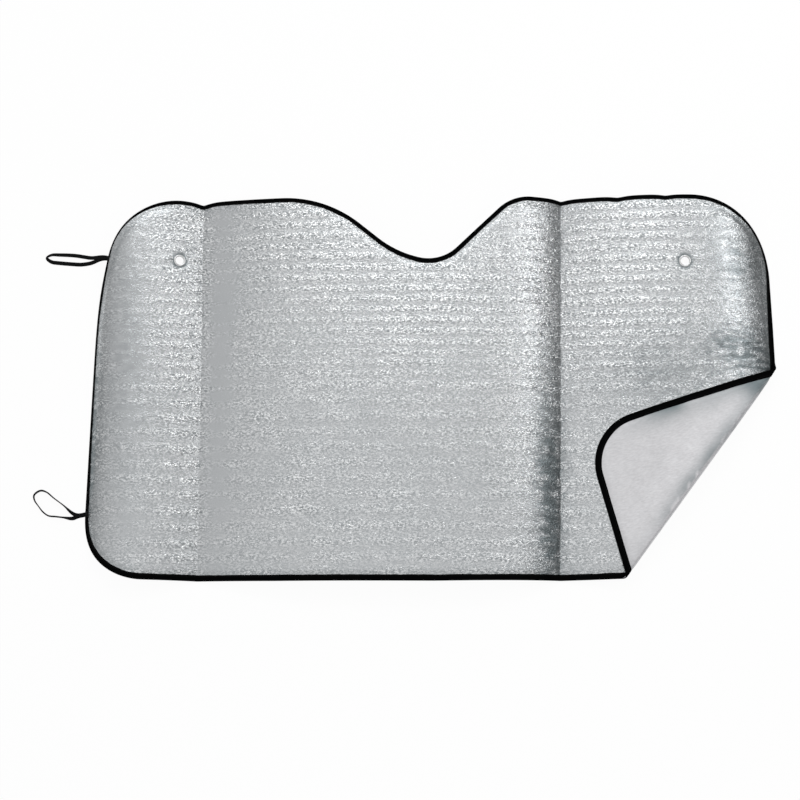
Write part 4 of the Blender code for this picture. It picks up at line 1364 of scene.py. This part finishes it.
def build_eyelet(name, settings, metal):
    """The eyelet's profile turned about the sheet's normal at its place."""
    centre = np.array([*EYELETS[name], 0.0])
    reach = settings.flange / 2
    spots = centre + reach * np.array([(-1, 0, 0), (1, 0, 0), (0, -1, 0), (0, 1, 0)])
    left, right, low, high = put(spots)
    across = (right - left) / np.linalg.norm(right - left)
    normal = np.cross(across, high - low)
    normal /= np.linalg.norm(normal)
    upward = np.cross(normal, across)
    profile = eyelet_profile(settings)
    turns = np.linspace(0, 2 * math.pi, settings.sides, endpoint=False)
    around = np.cos(turns)[:, None] * across + np.sin(turns)[:, None] * upward
    middle = (left + right + low + high) / 4
    points = middle + profile[None, :, :1] * around[:, None] + profile[None, :, 1:] * normal
    uv = grid_map(turns * reach, profile[:, 0])
    faces = tube_faces(settings.sides, len(profile), closed=True)
    return make_piece(f"{name}_dressed", points.reshape(-1, 3), faces, uv, [metal], smooth_to=50)


# Elastic loops


def smooth_route(points, step):
    """Points at even steps on a smooth curve through the route, with its values carried along."""
    padded = np.vstack([2 * points[0] - points[1], points, 2 * points[-1] - points[-2]])
    share = np.linspace(0, 1, ROUTE_SAMPLES, endpoint=False)[:, None]
    fine = []
    for before, one, other, after in zip(padded, padded[1:], padded[2:], padded[3:]):
        bend = 2 * before - 5 * one + 4 * other - after
        twist = 3 * one - before - 3 * other + after
        fine.append(one + share * (other - before + share * (bend + share * twist)) / 2)
    fine = np.vstack(fine + [points[-1:]])
    travelled = travelled_along(fine[:, :3])
    stops = np.linspace(0, travelled[-1], math.ceil(travelled[-1] / step) + 1)
    return np.column_stack([np.interp(stops, travelled, column) for column in fine.T]), stops


def loop_root(height, settings):
    """Place on the floor where a loop leaves the tape, and the height of the edge over the floor."""
    levels = height + np.array([0, -0.5, 0.5]) * settings.band_width
    spots = np.column_stack([left_edge(levels), levels, np.zeros(3)])
    root, low, high = arch(spots)
    clear = TAPE_NOSE + TAPE_THICKNESS + abs(high[0] - low[0]) / 2
    place = np.array([root[0] - clear, root[1], -SHEET_THICKNESS / 2]) + ORIGIN
    return place, root[2]


def build_loop(name, settings, elastic):
    """A flat ribbed band carried along its route, its outer face turned by the route's lean."""
    height, route = LOOPS[name]
    place, root_height = loop_root(height, settings)
    values, stops = smooth_route(np.array(route) * (MM, -MM, MM, 1), settings.band_step)
    spots = values[:, :3].copy()
    spots[:, 2] += root_height * (1 - ease(values[:, 0] / ELASTIC_SETTLE))
    heading = np.gradient(spots, axis=0)
    heading[0] = (1, 0, 0)
    heading[-1] = (-1, 0, 0)
    heading = unit(heading)
    x, y = values[:, 0], values[:, 1]
    turning = np.sign(np.sum(x * np.roll(y, -1) - y * np.roll(x, -1)))
    level = np.column_stack([heading[:, 1], -heading[:, 0], 0 * x]) * turning
    lean = np.radians(values[:, 3])[:, None]
    outer = np.cos(lean) * np.array([0, 0, 1]) + np.sin(lean) * level
    across = unit(np.cross(heading, outer))
    outer = np.cross(across, heading)
    half_width, half_thick = settings.band_width / 2, settings.band_thickness / 2
    reach_down = abs(across[:, 2]) * half_width + abs(outer[:, 2]) * half_thick
    spots[:, 2] = np.maximum(spots[:, 2], reach_down)
    wide = np.linspace(-1, 1, 4 * settings.ribs + 1)
    rib = 0.8 + 0.2 * np.cos(2 * math.pi * settings.ribs * (wide + 1) / 2 + math.pi)
    edge = np.sqrt(1 - 0.75 * abs(wide) ** 8)
    top = np.column_stack([wide, rib * edge])
    section = np.vstack([top, top[::-1] * (1, -1)])
    points = (
        spots[:, None]
        + across[:, None] * section[None, :, :1] * half_width
        + outer[:, None] * section[None, :, 1:] * half_thick
    )
    points = points.reshape(-1, 3) * (-1, -1, 1) + place
    uv = grid_map(stops, np.concatenate([wide, wide[::-1] + 2]) * half_width)
    count = len(section)
    faces = tube_faces(len(stops), count, closed=False)
    span = np.arange(count // 2 - 1)
    cap = triangles(span, span + 1, count - 2 - span, count - 1 - span)
    faces = np.vstack([faces, cap, (len(stops) - 1) * count + cap[:, ::-1]])[:, ::-1]
    return make_piece(f"{name}_dressed", points, faces, uv, [elastic], smooth_to=60)


# Stage


def aim(thing, target):
    """Turn an object's own -Z to a point."""
    thing.rotation_euler = (Vector(target) - thing.location).to_track_quat("-Z", "Y").to_euler()


def soft_box(name, place, target, width, depth, brightness):
    """A soft box that looks as bright as the number, white being 1."""
    light = bpy.data.lights.new(name, "AREA")
    light.shape = "RECTANGLE"
    light.size, light.size_y = width, depth
    light.energy = brightness * math.pi * width * depth
    box = bpy.data.objects.new(name, light)
    bpy.context.scene.collection.objects.link(box)
    box.location = place
    aim(box, target)


def studio_room():
    """A grey room: mid grey overhead, darker towards both sides and the near wall.

    Each share runs between two values along one axis of the direction, and the shares are multiplied.
    """
    world = bpy.data.worlds.new("grey room")
    bpy.context.scene.world = world
    world.use_nodes = True
    room = Nodes(world.node_tree)
    spot = room.node("ShaderNodeTexCoord").outputs["Generated"]
    way = room.node("ShaderNodeSeparateXYZ", {"Vector": spot}).outputs
    axis, *ends = ROOM_SHARES[0]
    level = room.between(way[axis], *ends)
    for axis, *ends in ROOM_SHARES[1:]:
        level = room.times(level, room.between(way[axis], *ends))
    room.feed(room.nodes["Background"].inputs["Color"], level)


def pale_floor(settings):
    """A matt pale floor that shows white to the camera and in gloss, and keeps the shade's shadow."""
    look = Look("pale floor")
    path = look.node("ShaderNodeLightPath")
    seen = look.sum(path.outputs["Is Camera Ray"], path.outputs["Is Glossy Ray"], "MAXIMUM")
    seen = look.sum(seen, path.outputs["Is Transmission Ray"], "MAXIMUM")
    grain = look.noise(look.node("ShaderNodeTexCoord").outputs["Object"], 30.0, 2.0)
    colour = look.blend(grain, toned(settings.floor_colour, 0.985), settings.floor_colour)
    look.finish(Base_Color=colour, Roughness=0.9, Specular_IOR_Level=0.0)
    white = look.node("ShaderNodeEmission", {"Color": (1, 1, 1, 1), "Strength": 1.0})
    mix = look.node("ShaderNodeMixShader", {0: look.times(seen, 0.94)})
    look.links.new(look.shader.outputs[0], mix.inputs[1])
    look.links.new(white.outputs[0], mix.inputs[2])
    look.links.new(mix.outputs[0], look.nodes["Material Output"].inputs["Surface"])
    return look.material


def build_stage(settings):
    """Floor, camera and soft boxes round the shade."""
    span = np.linspace(-FLOOR_REACH, FLOOR_REACH, 3)
    grid = np.stack(np.meshgrid(span, span, [FLOOR_LEVEL], indexing="ij"), -1).reshape(-1, 3)
    index = np.arange(9).reshape(3, 3)
    faces = triangles(index[:-1, :-1], index[1:, :-1], index[1:, 1:], index[:-1, 1:])
    floor = make_piece("floor", grid, faces, grid[:, :2], [pale_floor(settings)])
    studio_room()
    lens = bpy.data.cameras.new("camera")
    camera = bpy.data.objects.new("camera", lens)
    bpy.context.scene.collection.objects.link(camera)
    target = np.array(CAMERA_TARGET)
    back = np.array([0, -math.cos(settings.elevation), math.sin(settings.elevation)])
    camera.location = target + settings.distance * back
    aim(camera, target)
    lens.sensor_width = SENSOR_WIDTH
    lens.lens = SENSOR_WIDTH * settings.distance / (100 * settings.scale)
    bpy.context.scene.camera = camera
    for box in SOFT_BOXES:
        soft_box(*box)
    bpy.context.scene.view_settings.view_transform = "Standard"


# Operators


def dress(piece, slot, *nodes):
    """Ride on the frame and stand for the solids."""
    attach(piece, "root")
    if nodes:
        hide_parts(*nodes)
    return piece


class SUNSHADE_OT_stage(bpy.types.Operator):
    """Make the floor, the camera and the light"""

    bl_idname = "sunshade.stage"
    bl_label = "Stage"

    def execute(self, context):
        build_stage(context.scene.sunshade_stage)
        return {"FINISHED"}


class SUNSHADE_OT_tape(bpy.types.Operator):
    """Make the edge tape and its stitches"""

    bl_idname = "sunshade.tape"
    bl_label = "Edge tape"

    def execute(self, context):
        settings = context.scene.sunshade_tape
        dress(build_tape(settings), "edge_tape", "edge_binding")
        dress(build_stitches(settings), "edge_tape")
        return {"FINISHED"}


class SUNSHADE_OT_sheet(bpy.types.Operator):
    """Make the foil sheet, after its tape"""

    bl_idname = "sunshade.sheet"
    bl_label = "Foil sheet"

    def execute(self, context):
        piece = dress(build_sheet(context.scene.sunshade_sheet), "bubble_foil", "foil_sheet")
        return {"FINISHED"}


class SUNSHADE_OT_eyelets(bpy.types.Operator):
    """Make the two eyelets"""

    bl_idname = "sunshade.eyelets"
    bl_label = "Eyelets"

    def execute(self, context):
        settings = context.scene.sunshade_eyelets
        metal = bright_metal(settings)
        for name in EYELETS:
            dress(build_eyelet(name, settings, metal), "eyelet", name)
        return {"FINISHED"}


class SUNSHADE_OT_loops(bpy.types.Operator):
    """Make the two elastic loops"""

    bl_idname = "sunshade.loops"
    bl_label = "Elastic loops"

    def execute(self, context):
        settings = context.scene.sunshade_loops
        elastic = ribbed_elastic(settings)
        for name in LOOPS:
            dress(build_loop(name, settings, elastic), "elastic", name)
        return {"FINISHED"}


class SUNSHADE_PT_panel(bpy.types.Panel):
    """Sizes, colours and pieces of the sunshade"""

    bl_idname = "SUNSHADE_PT_panel"
    bl_label = "Sunshade"
    bl_space_type = "VIEW_3D"
    bl_region_type = "UI"
    bl_category = "Sunshade"

    def draw(self, context):
        for group, operator in STEPS:
            box = self.layout.box()
            settings = getattr(context.scene, group)
            for name in settings.__annotations__:
                box.prop(settings, name)
            box.operator(operator.bl_idname)


GROUPS = {
    "sunshade_stage": StageSettings,
    "sunshade_tape": TapeSettings,
    "sunshade_sheet": SheetSettings,
    "sunshade_eyelets": EyeletSettings,
    "sunshade_loops": ElasticSettings,
}
STEPS = [
    ("sunshade_stage", SUNSHADE_OT_stage),
    ("sunshade_tape", SUNSHADE_OT_tape),
    ("sunshade_sheet", SUNSHADE_OT_sheet),
    ("sunshade_eyelets", SUNSHADE_OT_eyelets),
    ("sunshade_loops", SUNSHADE_OT_loops),
]
CLASSES = [*GROUPS.values(), *(operator for _, operator in STEPS), SUNSHADE_PT_panel]


def register():
    for kind in CLASSES:
        bpy.utils.register_class(kind)
    for name, group in GROUPS.items():
        setattr(bpy.types.Scene, name, PointerProperty(type=group))


def unregister():
    for name in GROUPS:
        delattr(bpy.types.Scene, name)
    for kind in reversed(CLASSES):
        bpy.utils.unregister_class(kind)


def main():
    register()
    for name in ("stage", "tape", "sheet", "eyelets", "loops"):
        getattr(bpy.ops.sunshade, name)()


if __name__ == "__main__":
    main()
